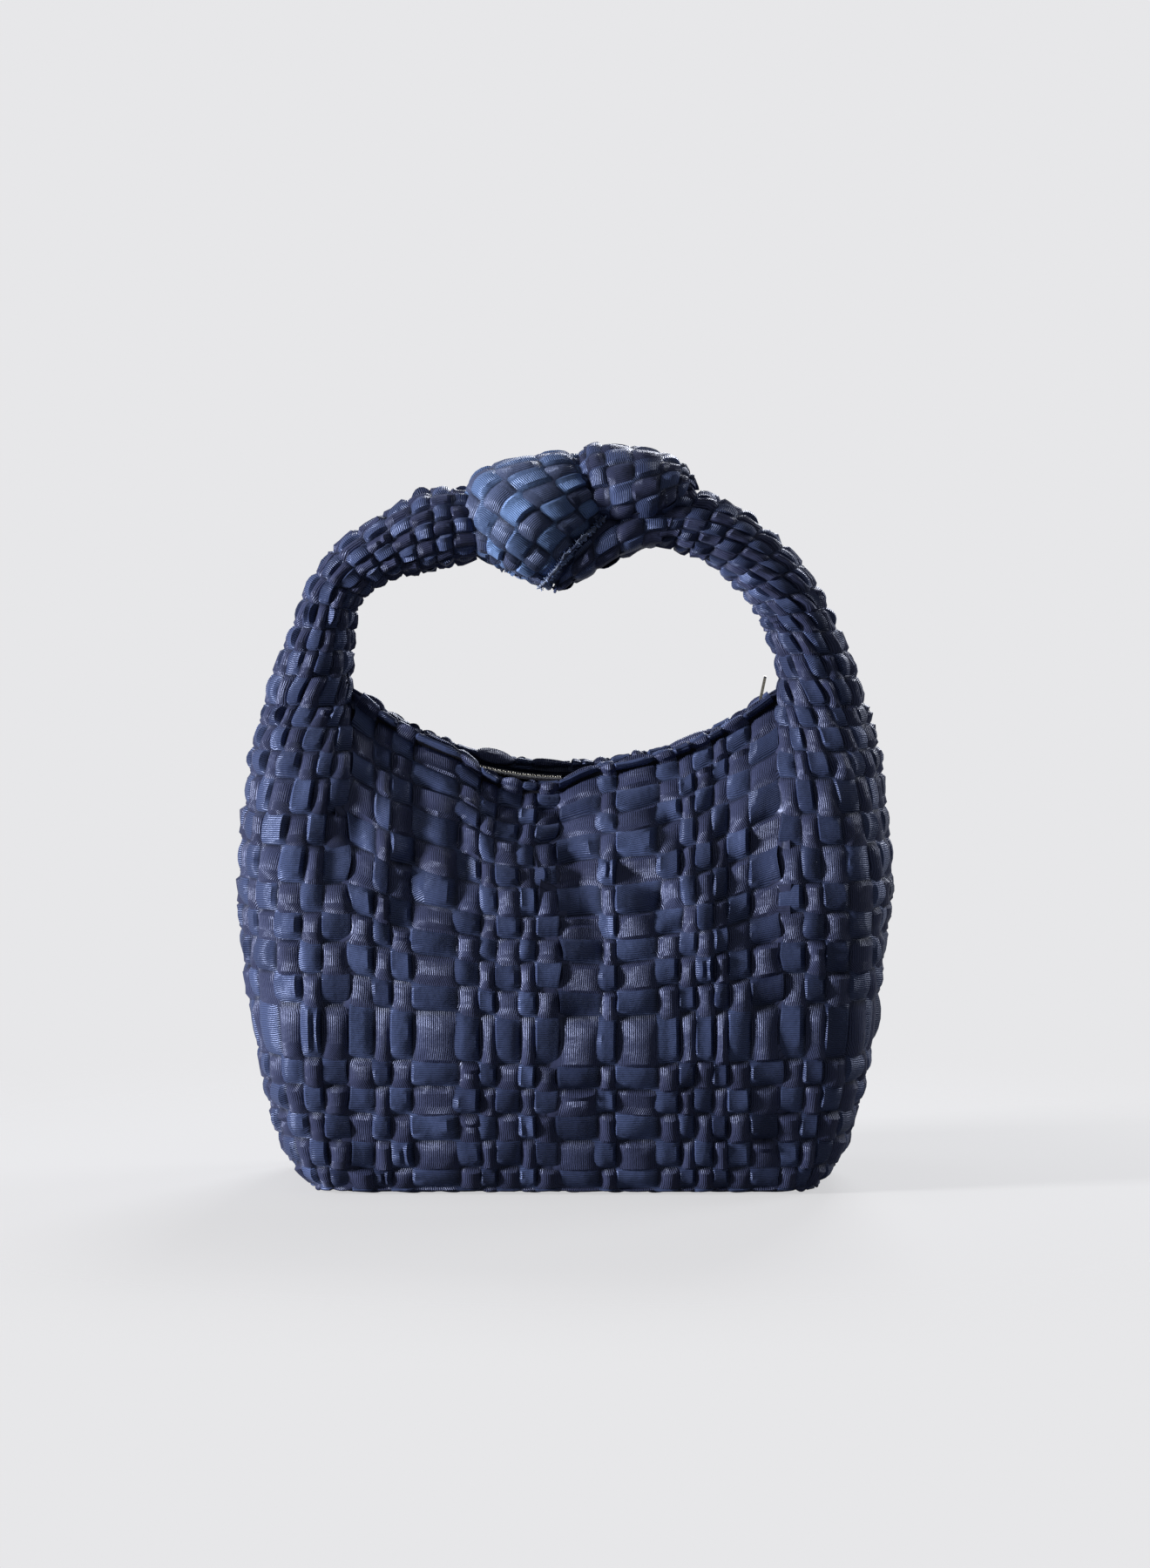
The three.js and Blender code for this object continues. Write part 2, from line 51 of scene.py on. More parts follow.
def linear(red, green, blue):
    return tuple(((c / 255 + 0.055) / 1.055) ** 2.4 if c > 10 else c / 255 / 12.92
                 for c in (red, green, blue)) + (1,)


# The bag's driving dimensions in millimetres, as in the CAD source
size = {
    "mouthHalf": 89, "arcCentreZ": 317, "panelTopRadius": 144, "zipRadius": 146,
    "liningOffset": 3.2, "lining": 0.8, "coreOffset": 3.5, "bottomCurl": 2.7,
    "hemDepthAtEnds": 7.3, "hemDepthGain": 5.4, "hemRadius": 141.35, "hemHalfHeight": 2.35,
    "hemHalfDepth": 2.5,
}
# Half depths in mm and the gusset's roundness by share of the wall's height, and the half
# width by height in mm
depthAtHorn = [(0, 50), (0.05, 53), (0.15, 56.5), (0.3, 59.5), (0.45, 59), (0.6, 54),
               (0.75, 43), (0.88, 28), (1, 8)]
depthInMiddle = [(0, 51), (0.05, 54.5), (0.15, 59), (0.3, 63), (0.45, 62.5), (0.6, 58),
                 (0.75, 47.5), (0.88, 32), (1, 13.5)]
halfWidth = [(0, 106), (3, 110), (10, 116), (18, 120.5), (32, 124.5), (47, 128), (62, 131),
             (77, 133.6), (98, 136.3), (128, 138.4), (158, 136.4), (187, 132.2), (204, 127.4)]
gussetRun = [(0, 0.8), (0.3, 0.8), (0.6, 0.74), (0.75, 0.62), (0.88, 0.42), (1, 0.12)]
gussetFrontDepth = [(0, 50.5), (0.3, 60.5), (0.6, 57), (0.75, 50), (0.88, 39), (1, 24)]
gussetSideDepth = [(0, 45), (0.3, 50), (0.6, 47), (0.75, 42), (0.88, 34), (1, 24)]
# Stations along the arms and the knot's folds: inner and outer edge (x, z) and half depth
arms = {
    "left": [((-90.2, 205.6), (-126.5, 205.6), 18.6), ((-90.2, 222), (-121.2, 223), 16.8),
             ((-88.8, 236), (-114.8, 238), 14.6), ((-86, 246.5), (-108, 256), 13.4),
             ((-78.3, 252.4), (-95.4, 271), 13.2), ((-69, 256.8), (-79, 282.5), 14),
             ((-58, 258.5), (-63, 292), 15.6), ((-47, 262), (-49, 294.5), 15.6),
             ((-34, 265), (-35, 292), 14)],
    "right": [((90.2, 205.6), (126.5, 205.6), 18.6), ((89.6, 220), (121.6, 222), 16.8),
              ((84.4, 234.5), (115.4, 236.5), 15.4), ((80, 243), (108.5, 250.5), 14.6),
              ((73.5, 251), (99, 264.8), 14), ((66, 258), (86, 276.6), 13.6),
              ((56, 264.3), (72, 287), 13.6), ((46, 268.5), (57, 293), 13.6),
              ((36, 270), (42, 294), 13)],
}
knotFolds = {
    "knot_wrap": [((-15, 255), (-41, 268), 7), ((-8, 251), (-45, 274), 15),
                  ((-2, 255), (-46, 287), 21), ((6, 265), (-38, 301), 24),
                  ((13, 273.5), (-18, 308), 22.5), ((18.5, 281), (2, 310), 16),
                  ((20, 286), (8, 306), 7)],
    "knot_loop": [((6, 286), (3, 304), 10), ((13, 281), (9, 313), 17.5),
                  ((24, 277.5), (21, 313.5), 20.5), ((36, 278), (38, 311), 20),
                  ((47, 283), (49, 306), 15), ((53, 289), (54.5, 300.5), 7)],
    "knot_under": [((-3, 250), (-4, 262), 6), ((7, 254.5), (3, 272), 13),
                   ((20, 262), (16, 284), 15), ((32, 267), (31, 288), 15.5),
                   ((42, 270), (46, 286), 14)],
}

# The weave: column edges across the front in mm, row edges up the middle in mm, and the
# columns' relative widths round half a gusset
columnEdges = [-89, -79.1, -72, -63.1, -43.9, -35, -28.3, -18.3, -11.7, -2.6, 15.4, 22, 39.4,
               48.3, 55, 62.8, 68.7, 78.3, 89]
rowEdges = [2.9, 11.9, 24.1, 35.6, 46.7, 57.4, 77.8, 88.1, 99.3, 108.9, 118.5, 130.4, 140.4,
            151.5, 159.6, 167, 173]
gussetWidths = [9.5, 7, 9.5, 11, 7, 9.5, 9.5, 8]
armWidths = [4.5, 5.5, 8.5, 8.5, 8, 8.5, 8, 7.5]
frontColumns, gussetColumns = 18, 16
rimRow, armRows = 17, 12
armCovered = 0.97                                         # the knot hides the rest
armTwist = {"left": 0.06, "right": -0.30}                 # in turns, from the horn to the knot
hemRoll = {"start": -58, "perRow": 139}                   # degrees about the hem's core
rimDip = {"x": -17, "width": 22, "depth": 7.5, "fromRow": 10.5}   # shows the zip
# How far the cloth strays from its calm form: mm, and a share of the way round for the last
unrest = {"aside": 1.5, "middle": 1.6, "border": 2.2, "sink": 1.3, "rows": 1.4, "swell": 1.4,
          "round": 0.012}
foldEnd = {"reach": 3.0, "closing": 0.8}                  # the knot's folds end rounded


def through(stations):                # a smooth curve through (place, value) pairs
    def slope(i):
        before, after = stations[max(i - 1, 0)], stations[min(i + 1, len(stations) - 1)]
        return (after[1] - before[1]) / (after[0] - before[0])

    def curve(place):
        i = 0
        while i < len(stations) - 2 and place > stations[i + 1][0]:
            i += 1
        (start, low), (end, high) = stations[i], stations[i + 1]
        run = end - start
        t = min(max((place - start) / run, 0), 1)
        return ((2 * t**3 - 3 * t**2 + 1) * low + (t**3 - 2 * t**2 + t) * run * slope(i)
                + (3 * t**2 - 2 * t**3) * high + (t**3 - t**2) * run * slope(i + 1))
    return curve


def smooth(low, high, value):
    t = min(max((value - low) / (high - low), 0), 1)
    return t * t * (3 - 2 * t)


def bezier(a, b, c, d, t):
    s = 1 - t
    return s**3 * a + 3 * s * s * t * b + 3 * s * t * t * c + t**3 * d


def catmull(points):                  # a centripetal curve through points
    count = len(points)
    points = [np.array(p, float) for p in points]
    points = [2 * points[0] - points[1], *points, 2 * points[-1] - points[-2]]

    def curve(t):
        place = (count - 1) * min(max(t, 0), 1)
        i = min(int(place), count - 2)
        share = place - i
        p0, p1, p2, p3 = points[i:i + 4]
        d0, d1, d2 = (math.sqrt(max(np.linalg.norm(b - a), 1e-6))
                      for a, b in ((p0, p1), (p1, p2), (p2, p3)))
        t1 = ((p1 - p0) / d0 - (p2 - p0) / (d0 + d1) + (p2 - p1) / d1) * d1
        t2 = ((p2 - p1) / d1 - (p3 - p1) / (d1 + d2) + (p3 - p2) / d2) * d1
        return (p1 + t1 * share + (3 * (p2 - p1) - 2 * t1 - t2) * share**2
                + (2 * (p1 - p2) + t1 + t2) * share**3)
    return curve


hornDepth, middleDepth = through(depthAtHorn), through(depthInMiddle)
widthAt, runAt = through(halfWidth), through(gussetRun)
frontDepthAt, sideDepthAt = through(gussetFrontDepth), through(gussetSideDepth)


def panelTop(x):
    return size["arcCentreZ"] - math.sqrt(size["panelTopRadius"] ** 2 - x * x)


def rowHeight(x, v):                  # level at the base, along the mouth's arc at the top
    dipped = ((v - 0.2) / 0.8) ** 1.6 if v > 0.2 else 0
    return panelTop(0) * v + (panelTop(x) - panelTop(0)) * dipped


def wallPoint(side, x, v):
    crown = 1 - (x / size["mouthHalf"]) ** 2
    depth = hornDepth(v) + (middleDepth(v) - hornDepth(v)) * crown
    return np.array([x, side * depth, rowHeight(x, v)])


def gussetPoint(turn, p, v):
    z = rowHeight(size["mouthHalf"], v)
    reach = widthAt(z) - size["mouthHalf"]
    t = 1 - abs(p)
    out = bezier(0, reach * runAt(v), reach, reach, t)
    depth = bezier(hornDepth(v), frontDepthAt(v), sideDepthAt(v), 0, t)
    return np.array([turn * (size["mouthHalf"] + out), math.copysign(depth, p), z])


def tube(stations):                   # its outer face at p round (-1 to 1) and t along (0 to 1)
    inner = catmull([s[0] for s in stations])
    outer = catmull([s[1] for s in stations])
    depthAt = through([(i / (len(stations) - 1), s[2]) for i, s in enumerate(stations)])

    def surface(p, t):
        a, b = inner(t), outer(t)
        along = 1 - abs(p)
        x, z = a + (b - a) * bezier(0, 0, 1, 1, along)
        half = bezier(0, depthAt(t) * 4 / 3, depthAt(t) * 4 / 3, 0, along)
        return np.array([x, math.copysign(half, p), z])
    return surface


armSurfaces = {side: tube(stations) for side, stations in arms.items()}
knotSurfaces = {name: tube(stations) for name, stations in knotFolds.items()}


def hemDepth(x):
    return size["hemDepthAtEnds"] + size["hemDepthGain"] * (1 - (x / size["mouthHalf"]) ** 2)


def onArc(angle, radius, y):
    return np.array([radius * math.sin(angle), y, size["arcCentreZ"] - radius * math.cos(angle)])


# Soft creases of the front wall, each from (x, z) to (x, z) in mm with its width and depth;
# a negative depth is a ridge
creases = [
    ((-60, 178), (-65, 118), 6.5, 5.0), ((-47, 168), (-40, 124), 5.5, 3.6),
    ((-84, 172), (-90, 136), 6, 4.0), ((-73, 162), (-77, 116), 6, -2.4),
    ((-30, 160), (-22, 118), 8, -2.2), ((-4, 166), (14, 104), 6, 5.6),
    ((24, 140), (46, 116), 6, 5.4), ((20, 160), (28, 147), 8, -3.2),
    ((38, 166), (52, 140), 6, 4.2), ((52, 132), (62, 100), 7, -2.4),
    ((66, 166), (72, 118), 7, 4.2), ((84, 160), (80, 110), 7, 4.2),
    ((10, 92), (-4, 60), 8, 1.8), ((-96, 60), (-84, 20), 8, 2.4), ((84, 50), (92, 16), 8, 2.4),
]


def creased(x, z):
    pushed = 0
    for (x0, z0), (x1, z1), width, depth in creases:
        dx, dz = x1 - x0, z1 - z0
        t = min(max(((x - x0) * dx + (z - z0) * dz) / (dx * dx + dz * dz), 0), 1)
        away = math.hypot(x - x0 - dx * t, z - z0 - dz * t)
        pushed += depth * math.exp(-(away / width) ** 2) * math.sin(math.pi * (0.15 + 0.7 * t))
    return pushed


def wavy(a, b, seed, scale):          # calm noise from -1 to 1
    return noise.noise(Vector((a * scale, b * scale, seed)))


def upright(row, low=0, high=2):       # 0 at the base and at the rim, 1 between them
    return smooth(low, high, row) * (1 - smooth(15, rimRow, row))


def between(edges, index):
    return float(np.interp(index, range(len(edges)), edges))


def rowShare(row):
    return between(rowEdges, row - 1) / panelTop(0)


# Points of the cloth's outer face at a column and row of the weave, all the way round
def underCurl(point, inward, row):
    angle, radius = (1 - row) * math.pi / 2, size["bottomCurl"]
    down = np.array([0, 0, radius * math.sin(angle)])
    return point + inward * radius * (1 - math.cos(angle)) - down


def dipAt(side, x, row):
    if side > 0:
        return 0
    return (rimDip["depth"] * math.exp(-((x - rimDip["x"]) / rimDip["width"]) ** 4)
            * smooth(rimDip["fromRow"], rimRow, row))


def borderShift(side, turn, row):
    stepped = smooth(-0.4, 0.4, wavy(row, 7 * turn + 3 * side, 4.4, 0.93))
    return unrest["border"] * upright(row, 0.5, 2.5) * stepped


def wallSink(side, x, z, column, row):
    sink = creased(x, z) if side < 0 else creased(-x + 16, z - 6) * 0.8
    return (sink + unrest["sink"] * wavy(column, row, 5.5 + side, 0.42)) * upright(row)


def wallPlace(side, column, row):
    columns = columnEdges if side < 0 else [-edge for edge in columnEdges]
    x = between(columns, column)
    calm = math.sin(math.pi * column / frontColumns) ** 0.5 if 0 < column < frontColumns else 0
    x += calm * unrest["aside"] * wavy(column * 1.1, row, 3.1 + side, 0.33)
    nearMiddle = max(1 - abs(column - frontColumns / 2), 0)
    x += nearMiddle * unrest["middle"] * upright(row) * wavy(row, side, 9.1, 0.93)
    toBorder = 1 - min(column, frontColumns - column, 1)
    if toBorder > 0:
        x += math.copysign(toBorder * borderShift(side, math.copysign(1, x), row), x)
    if row < 1:
        return underCurl(wallPoint(side, x, rowShare(1)), np.array([0, -side, 0]), row)
    if row <= rimRow:
        wander = unrest["rows"] * calm * upright(row) * wavy(column, row * 1.2, 8.4 + side, 0.4)
        share = min(rowShare(row) + wander / panelTop(0), 1)
        point = wallPoint(side, x, share)
        point[1] -= side * wallSink(side, x, point[2], column, row)
        point[2] -= dipAt(side, x, row)
        return point
    turn = math.radians(hemRoll["start"] + (row - rimRow) * hemRoll["perRow"])
    radius = size["hemRadius"] - size["hemHalfHeight"] * math.sin(turn)
    depth = hemDepth(x) + size["hemHalfDepth"] * math.cos(turn)
    point = onArc(math.asin(x / size["panelTopRadius"]), radius, side * depth)
    point[2] -= dipAt(side, x, row)
    return point


def outOf(turn, point):               # level direction away from a gusset's middle
    out = (point - [turn * size["mouthHalf"], 0, 0]) * [1, 1, 0]
    return out / np.linalg.norm(out)


def sectionTable(turn, row):
    shares = [*np.linspace(-1, -1e-4, 24), *np.linspace(1e-4, 1, 24)]
    if row <= rimRow:
        points = [gussetPoint(turn, p, rowShare(max(row, 1))) for p in shares]
        if row < 1:
            outward = [outOf(turn, p) for p in points]
            points = [underCurl(p, -out, row) for p, out in zip(points, outward)]
    else:
        t = (row - rimRow) / armRows * armCovered
        surface = armSurfaces["right" if turn > 0 else "left"]
        points = [surface(p, t) for p in shares]
        foot = smooth(rimRow, rimRow + 1.2, row)
        if foot < 1:
            low = [gussetPoint(turn, p, 1) for p in shares]
            points = [a * foot + (b + [0, 0, q[2] - r[2]]) * (1 - foot) for a, b, q, r in
                      zip(points, low, points, [surface(p, 0) for p in shares])]
    return np.array(points)


def spread(points):                   # length of a line and its place at a share of it
    steps = np.linalg.norm(np.diff(points, axis=0), axis=1)
    along = np.concatenate([[0], np.cumsum(steps)]) / steps.sum()

    def at(share):
        return np.array([np.interp(share, along, points[:, k]) for k in range(3)])
    return steps.sum(), at


def gussetRow(turn, row, columns):
    points = sectionTable(turn, row)
    length, at = spread(points)
    inArm = smooth(15.5, 19, row)
    widths = [g * (1 - inArm) + a * inArm for g, a in zip(gussetWidths, armWidths)]
    widths = widths + widths[::-1]
    edges = np.concatenate([[0], np.cumsum(widths)]) / sum(widths)
    twist = armTwist["right" if turn > 0 else "left"] * smooth(17.5, 29, row)
    calm = smooth(0, 2, row)
    found = []
    for column in columns:
        share = between(edges, column)
        inside = math.sin(math.pi * min(max(column / gussetColumns, 0), 1))
        share += unrest["round"] * inside * calm * wavy(column, row, 2.7 + turn, 0.5)
        sunk = np.zeros(3)
        for side, away in ((-1, column), (1, gussetColumns - column)):
            if away < 1:
                share -= side * (1 - max(away, 0)) * borderShift(side, turn, row) / length
            if away < 3.5 and row < rimRow:
                border = frontColumns if side * turn < 0 else 0
                pull = wallSink(side, turn * size["mouthHalf"], points[0][2], border, row)
                sunk[1] -= side * pull * (1 - smooth(0, 3.5, away))
        place = at((share + twist) % 1 if twist else share)
        if 1 < row < rimRow:
            swell = wavy(column, row, 6.2 + turn, 0.45) * inside * upright(row, 1, 3)
            place += outOf(turn, place) * unrest["swell"] * swell
        found.append(place + sunk)
    return found


def foldRow(surface, row, rows, columns, count, twist):
    t = min(max(row / rows, 0), 1)
    shares = np.linspace(-1, 1, 41)
    points = np.array([surface(p, t) for p in shares])
    over = max(-row, row - rows, 0)
    if over > 0:
        middle = points.mean(axis=0)
        beyond = surface(0, 1 if row > 0 else 0) - surface(0, 0.94 if row > 0 else 0.06)
        ahead = beyond / np.linalg.norm(beyond) * foldEnd["reach"] * math.sin(over * math.pi / 2)
        points = middle + (points - middle) * (1 - foldEnd["closing"] * over ** 1.3) + ahead
    at = spread(points)[1]
    return [at((column / count + twist * t + 0.01 * wavy(column, row, 1.9, 0.6)) % 1)
            for column in columns]


def linked(name, data):
    made = bpy.data.objects.new(name, data)
    scene.collection.objects.link(made)
    return made


def keepVectors(mesh, key, values):
    kept = mesh.attributes.new(key, "FLOAT_VECTOR", "POINT")
    kept.data.foreach_set("vector", np.array(values, np.float32).reshape(-1))


def gridFaces(high, wide):
    return [(j * wide + i, j * wide + i + 1, (j + 1) * wide + i + 1, (j + 1) * wide + i)
            for j in range(high - 1) for i in range(wide - 1)]


# A guide goes a little past its outer columns and rows, so that ribbons can reach there
def guideMesh(name, rowOfPoints, columns, rows, finer, sideEdge=0.15, relief=lambda row: 1):
    across = list(np.linspace(columns[0], columns[1], (columns[1] - columns[0]) * finer + 1))
    up = list(np.linspace(rows[0], rows[1], int((rows[1] - rows[0]) * finer) + 1))
    grid = np.array([rowOfPoints(row, across) for row in up]) * mm
    endEdge = 0.15
    side, end = sideEdge * finer, endEdge * finer
    grid = np.concatenate([grid[:, :1] - (grid[:, 1:2] - grid[:, :1]) * side, grid,
                           grid[:, -1:] + (grid[:, -1:] - grid[:, -2:-1]) * side], axis=1)
    grid = np.concatenate([grid[:1] - (grid[1:2] - grid[:1]) * end, grid,
                           grid[-1:] + (grid[-1:] - grid[-2:-1]) * end], axis=0)
    across = [across[0] - sideEdge, *across, across[-1] + sideEdge]
    up = [up[0] - endEdge, *up, up[-1] + endEdge]
    alongAcross, alongUp = np.gradient(grid, axis=1), np.gradient(grid, axis=0)
    outward = np.cross(alongAcross, alongUp)
    outward /= np.maximum(np.linalg.norm(outward, axis=2, keepdims=True), 1e-12)
    acrossLength, upLength = (
        np.linalg.norm(np.diff(grid, axis=axis, prepend=first), axis=2).cumsum(axis=axis)
        for axis, first in ((1, grid[:, :1]), (0, grid[:1])))
    high, wide = grid.shape[:2]
    spacing = np.stack([
        np.linalg.norm(np.gradient(grid, across, axis=1), axis=2),
        np.linalg.norm(np.gradient(grid, up, axis=0), axis=2),
        np.repeat([[relief(row)] for row in up], wide, axis=1)], axis=2)
    mesh = bpy.data.meshes.new(name)
    mesh.from_pydata(grid.reshape(-1, 3).tolist(), [], gridFaces(high, wide))
    keepVectors(mesh, "outward", outward)
    keepVectors(mesh, "spacing", spacing)
    keepVectors(mesh, "reach", np.stack([acrossLength, upLength, 0 * upLength], axis=2))
    places = np.array([[(across[i] - columns[0] + 1) / (columns[1] - columns[0] + 2),
                        (up[j] - rows[0] + 1) / (rows[1] - rows[0] + 2)]
                       for j in range(high) for i in range(wide)], np.float32)
    chart = mesh.uv_layers.new(name="weavePlace")
    corners = np.zeros(len(mesh.loops), np.int32)
    mesh.loops.foreach_get("vertex_index", corners)
    chart.data.foreach_set("uv", places[corners].reshape(-1))
    return linked(name, mesh)


class Value:                          # a node's output, which counts like a number
    def __init__(self, graph, socket):
        self.graph, self.socket = graph, socket

    def __add__(self, other):
        return self.graph.math("ADD", self, other)

    def __sub__(self, other):
        return self.graph.math("SUBTRACT", self, other)

    def __rsub__(self, other):
        return self.graph.math("SUBTRACT", other, self)

    def __mul__(self, other):
        return self.graph.math("MULTIPLY", self, other)

    def __truediv__(self, other):
        return self.graph.math("DIVIDE", self, other)


class Graph:
    def __init__(self, tree):
        self.tree = tree
        self.tree.nodes.clear()

    def feed(self, socket, value):
        if isinstance(value, Value):
            self.tree.links.new(value.socket, socket)
        elif value is not None:
            socket.default_value = value

    def node(self, kind, inputs=(), **settings):
        made = self.tree.nodes.new(kind)
        for key, value in settings.items():
            setattr(made, key, value)
        for key, value in dict(inputs).items():
            self.feed(made.inputs[key], value)
        return made

    def result(self, made):           # the first open output
        return Value(self, next(o for o in made.outputs if o.enabled))

    def out(self, kind, inputs=(), **settings):
        return self.result(self.node(kind, inputs, **settings))

    def outputs(self, kind, inputs=(), **settings):
        made = self.node(kind, inputs, **settings)
        return {o.name: Value(self, o) for o in made.outputs if o.enabled}

    def call(self, kind, *values, **settings):        # feeds the open inputs in turn
        made = self.node(kind, **settings)
        for socket, value in zip([s for s in made.inputs if s.enabled], values):
            self.feed(socket, value)
        return self.result(made)

    def math(self, operation, *values):
        return self.call("ShaderNodeMath", *values, operation=operation)

    def vector(self, operation, *values):
        return self.call("ShaderNodeVectorMath", *values, operation=operation)

    def scaled(self, vector, share):
        return self.vector("SCALE", vector, share)

    def combine(self, x=0.0, y=0.0, z=0.0):
        return self.call("ShaderNodeCombineXYZ", x, y, z)

    def separate(self, vector):
        return self.outputs("ShaderNodeSeparateXYZ", {"Vector": vector})

    def blend(self, share, a, b):
        return self.call("ShaderNodeMix", share, a, b, data_type="FLOAT")

    def tones(self, share, a, b):
        return self.call("ShaderNodeMix", share, a, b, data_type="RGBA")

    def noise(self, vector, scale, detail=2.0):
        return self.out("ShaderNodeTexNoise", {"Vector": vector, "Scale": scale, "Detail": detail})

    def ramp(self, value, low, high, toLow=0.0, toHigh=1.0):
        return self.call("ShaderNodeMapRange", value, low, high, toLow, toHigh,
                         interpolation_type="SMOOTHSTEP")

    def bump(self, height, strength, distance, normal=None):
        return self.out("ShaderNodeBump", {"Height": height, "Strength": strength,
                                           "Distance": distance, "Normal": normal})

    def stored(self, name, kind="FLOAT_VECTOR"):
        return self.out("GeometryNodeInputNamedAttribute", {"Name": name}, data_type=kind)

    def store(self, geometry, name, value, kind="FLOAT_VECTOR"):
        return self.call("GeometryNodeStoreNamedAttribute", geometry, None, name, value,
                         data_type=kind)

    def chance(self, place, seed, low=0.0, high=1.0):
        return self.call("FunctionNodeRandomValue", low, high, place, seed, data_type="FLOAT")

    def join(self, *parts):
        made = self.node("GeometryNodeJoinGeometry")
        for part in parts:
            self.feed(made.inputs[0], part)
        return self.result(made)

    def finish(self, name, geometry):                 # the end of each Geometry Nodes tree
        smoothed = self.out("GeometryNodeSetShadeSmooth", {"Geometry": geometry})
        solid = self.out("GeometryNodeRealizeInstances", {"Geometry": smoothed})
        self.node("NodeGroupOutput", {name: self.out("GeometryNodeSetMaterial", {
            "Geometry": solid, "Material": self.given["Material"]})})
        return self.tree


# Sockets of a group from {name: default}, where a word alone is the socket's kind
def sockets(tree, values, direction):
    for name, value in values.items():
        kind = value if isinstance(value, str) else {int: "Int", float: "Float"}[type(value)]
        made = tree.interface.new_socket(name=name, in_out=direction,
                                         socket_type="NodeSocket" + kind)
        if value != kind:
            made.default_value = value


def group(name, kind, inputs, outputs):
    g = Graph(bpy.data.node_groups.new(name, kind))
    sockets(g.tree, inputs, "INPUT")
    sockets(g.tree, outputs, "OUTPUT")
    g.given = g.outputs("NodeGroupInput")
    return g


# Plain weave of ribbons on a guide: cells are laid flat at whole numbers, each ribbon goes over
# one cell and under the next, and the guide's chart carries them on to the surface
def weaveTree():
    g = group("RibbonWeave", "GeometryNodeTree", {
        "Guide": "Geometry", "First Column": 0, "Columns": 8, "First Row": 0, "Rows": 8,
        "Faces Along": 8, "Faces Across": 4, "Ribbon Width": 1.0, "Width Spread": 0.05,
        "Wander": 0.14, "Bend": 0.006, "Overlap": 0.4, "Tuck": 0.1, "Loft": 0.0011,
        "Puff": 0.0012, "Tilt": 0.0013, "Sink": 0.0017, "Crown": 0.1, "Pinched Share": 0.045,
        "Pinch": 0.0019, "Seed": 7, "Material": "Material"}, {"Ribbons": "Geometry"})
    given = g.given
    firstColumn, columns, width = given["First Column"], given["Columns"], given["Ribbon Width"]
    firstRow, rows, seed = given["First Row"], given["Rows"], given["Seed"]
    position = g.out("GeometryNodeInputPosition")

    def cells(weft):
        along, across = given["Faces Along"] + 1, given["Faces Across"] + 1
        patch = g.out("GeometryNodeMeshGrid", {
            "Size X": 1.0 if weft else width, "Size Y": width if weft else 1.0,
            "Vertices X": along if weft else across, "Vertices Y": across if weft else along})
        places = g.out("GeometryNodeMeshGrid", {
            "Size X": columns - 1, "Size Y": rows - 1, "Vertices X": columns, "Vertices Y": rows})
        shift = g.combine(firstColumn + columns * 0.5, firstRow + rows * 0.5)
        moved = g.out("GeometryNodeSetPosition", {"Geometry": places, "Offset": shift})
        laid = g.out("GeometryNodeInstanceOnPoints", {
            "Points": g.store(moved, "cell", position), "Instance": patch})
        plain = g.out("GeometryNodeRealizeInstances", {"Geometry": laid})
        joined = g.out("GeometryNodeMergeByDistance", {"Geometry": plain, "Distance": 0.001})
        return g.store(joined, "weft", weft, "FLOAT")

    flat = g.join(cells(0.0), cells(1.0))
    place, cell = g.separate(position), g.separate(g.stored("cell"))
    column, row = g.math("FLOOR", cell["X"]), g.math("FLOOR", cell["Y"])
    weft = g.stored("weft", "FLOAT")
    sideways = g.blend(weft, place["X"] - cell["X"], place["Y"] - cell["Y"])
    lateral = sideways * 2 / width
    # vertices gather where a ribbon bends down to its next crossing
    run = g.blend(weft, place["Y"], place["X"])
    run = run - g.math("SINE", run * (2 * math.pi)) * 0.08
    arch = g.math("ABSOLUTE", g.math("SINE", run * math.pi))
    # a ribbon's ends reach a little under the next piece
    start = g.blend(weft, firstRow, firstColumn)
    finish = start + g.blend(weft, rows, columns)
    atEnd = g.math("GREATER_THAN", run, finish - 0.01) - g.math("LESS_THAN", run, start + 0.01)
    reached = run + g.blend(weft, given["Tuck"], given["Overlap"]) * atEnd
    # numbers for the random draws of a ribbon and of a cell, and which ribbon is over there
    ribbon = g.blend(weft, column, row) + weft * 500
    cellId = column * 131 + (row * 17 + weft * 7919)
    odd = g.math("FLOORED_MODULO", column + row, 2)
    side = (1 - odd * 2) * (1 - weft * 2)
    over = g.math("MAXIMUM", side, 0.0)
    pinched = g.math("LESS_THAN", g.chance(cellId, seed + 21), given["Pinched Share"]) * over
    # each ribbon has its own width and wanders a little; a pinched cell draws in
    narrow = 1 - given["Width Spread"] * g.chance(ribbon, seed + 3) - pinched * arch * 0.3
    drift = g.noise(g.combine(ribbon * 7.31 + seed * 3.7, run * 0.62), 1.0, 1.0) - 0.5
    aside = sideways * (narrow - 1) + drift * given["Wander"]

    def charted(x, y):
        return g.combine((x - firstColumn + 1) / (columns + 2), (y - firstRow + 1) / (rows + 2))

    chart = charted(g.blend(weft, place["X"] + aside, reached),
                    g.blend(weft, reached, place["Y"] + aside))
    middleLine = charted(g.blend(weft, cell["X"], run), g.blend(weft, run, cell["Y"]))
    weavePlace = g.stored("weavePlace")

    def onGuide(value, chart):
        return g.call("GeometryNodeSampleUVSurface", given["Guide"], value, weavePlace, chart,
                      data_type="FLOAT_VECTOR")

    spot, outward = onGuide(position, chart), onGuide(g.stored("outward"), chart)
    reach = g.separate(onGuide(g.stored("reach"), middleLine))
    spacing = g.separate(onGuide(g.stored("spacing"), middleLine))
    cellLength = g.blend(weft, spacing["Y"], spacing["X"])
    sharpness = g.math("MAXIMUM", cellLength / given["Bend"], 1.15)
    floating = 1 - g.math("POWER", 1 - arch, sharpness)
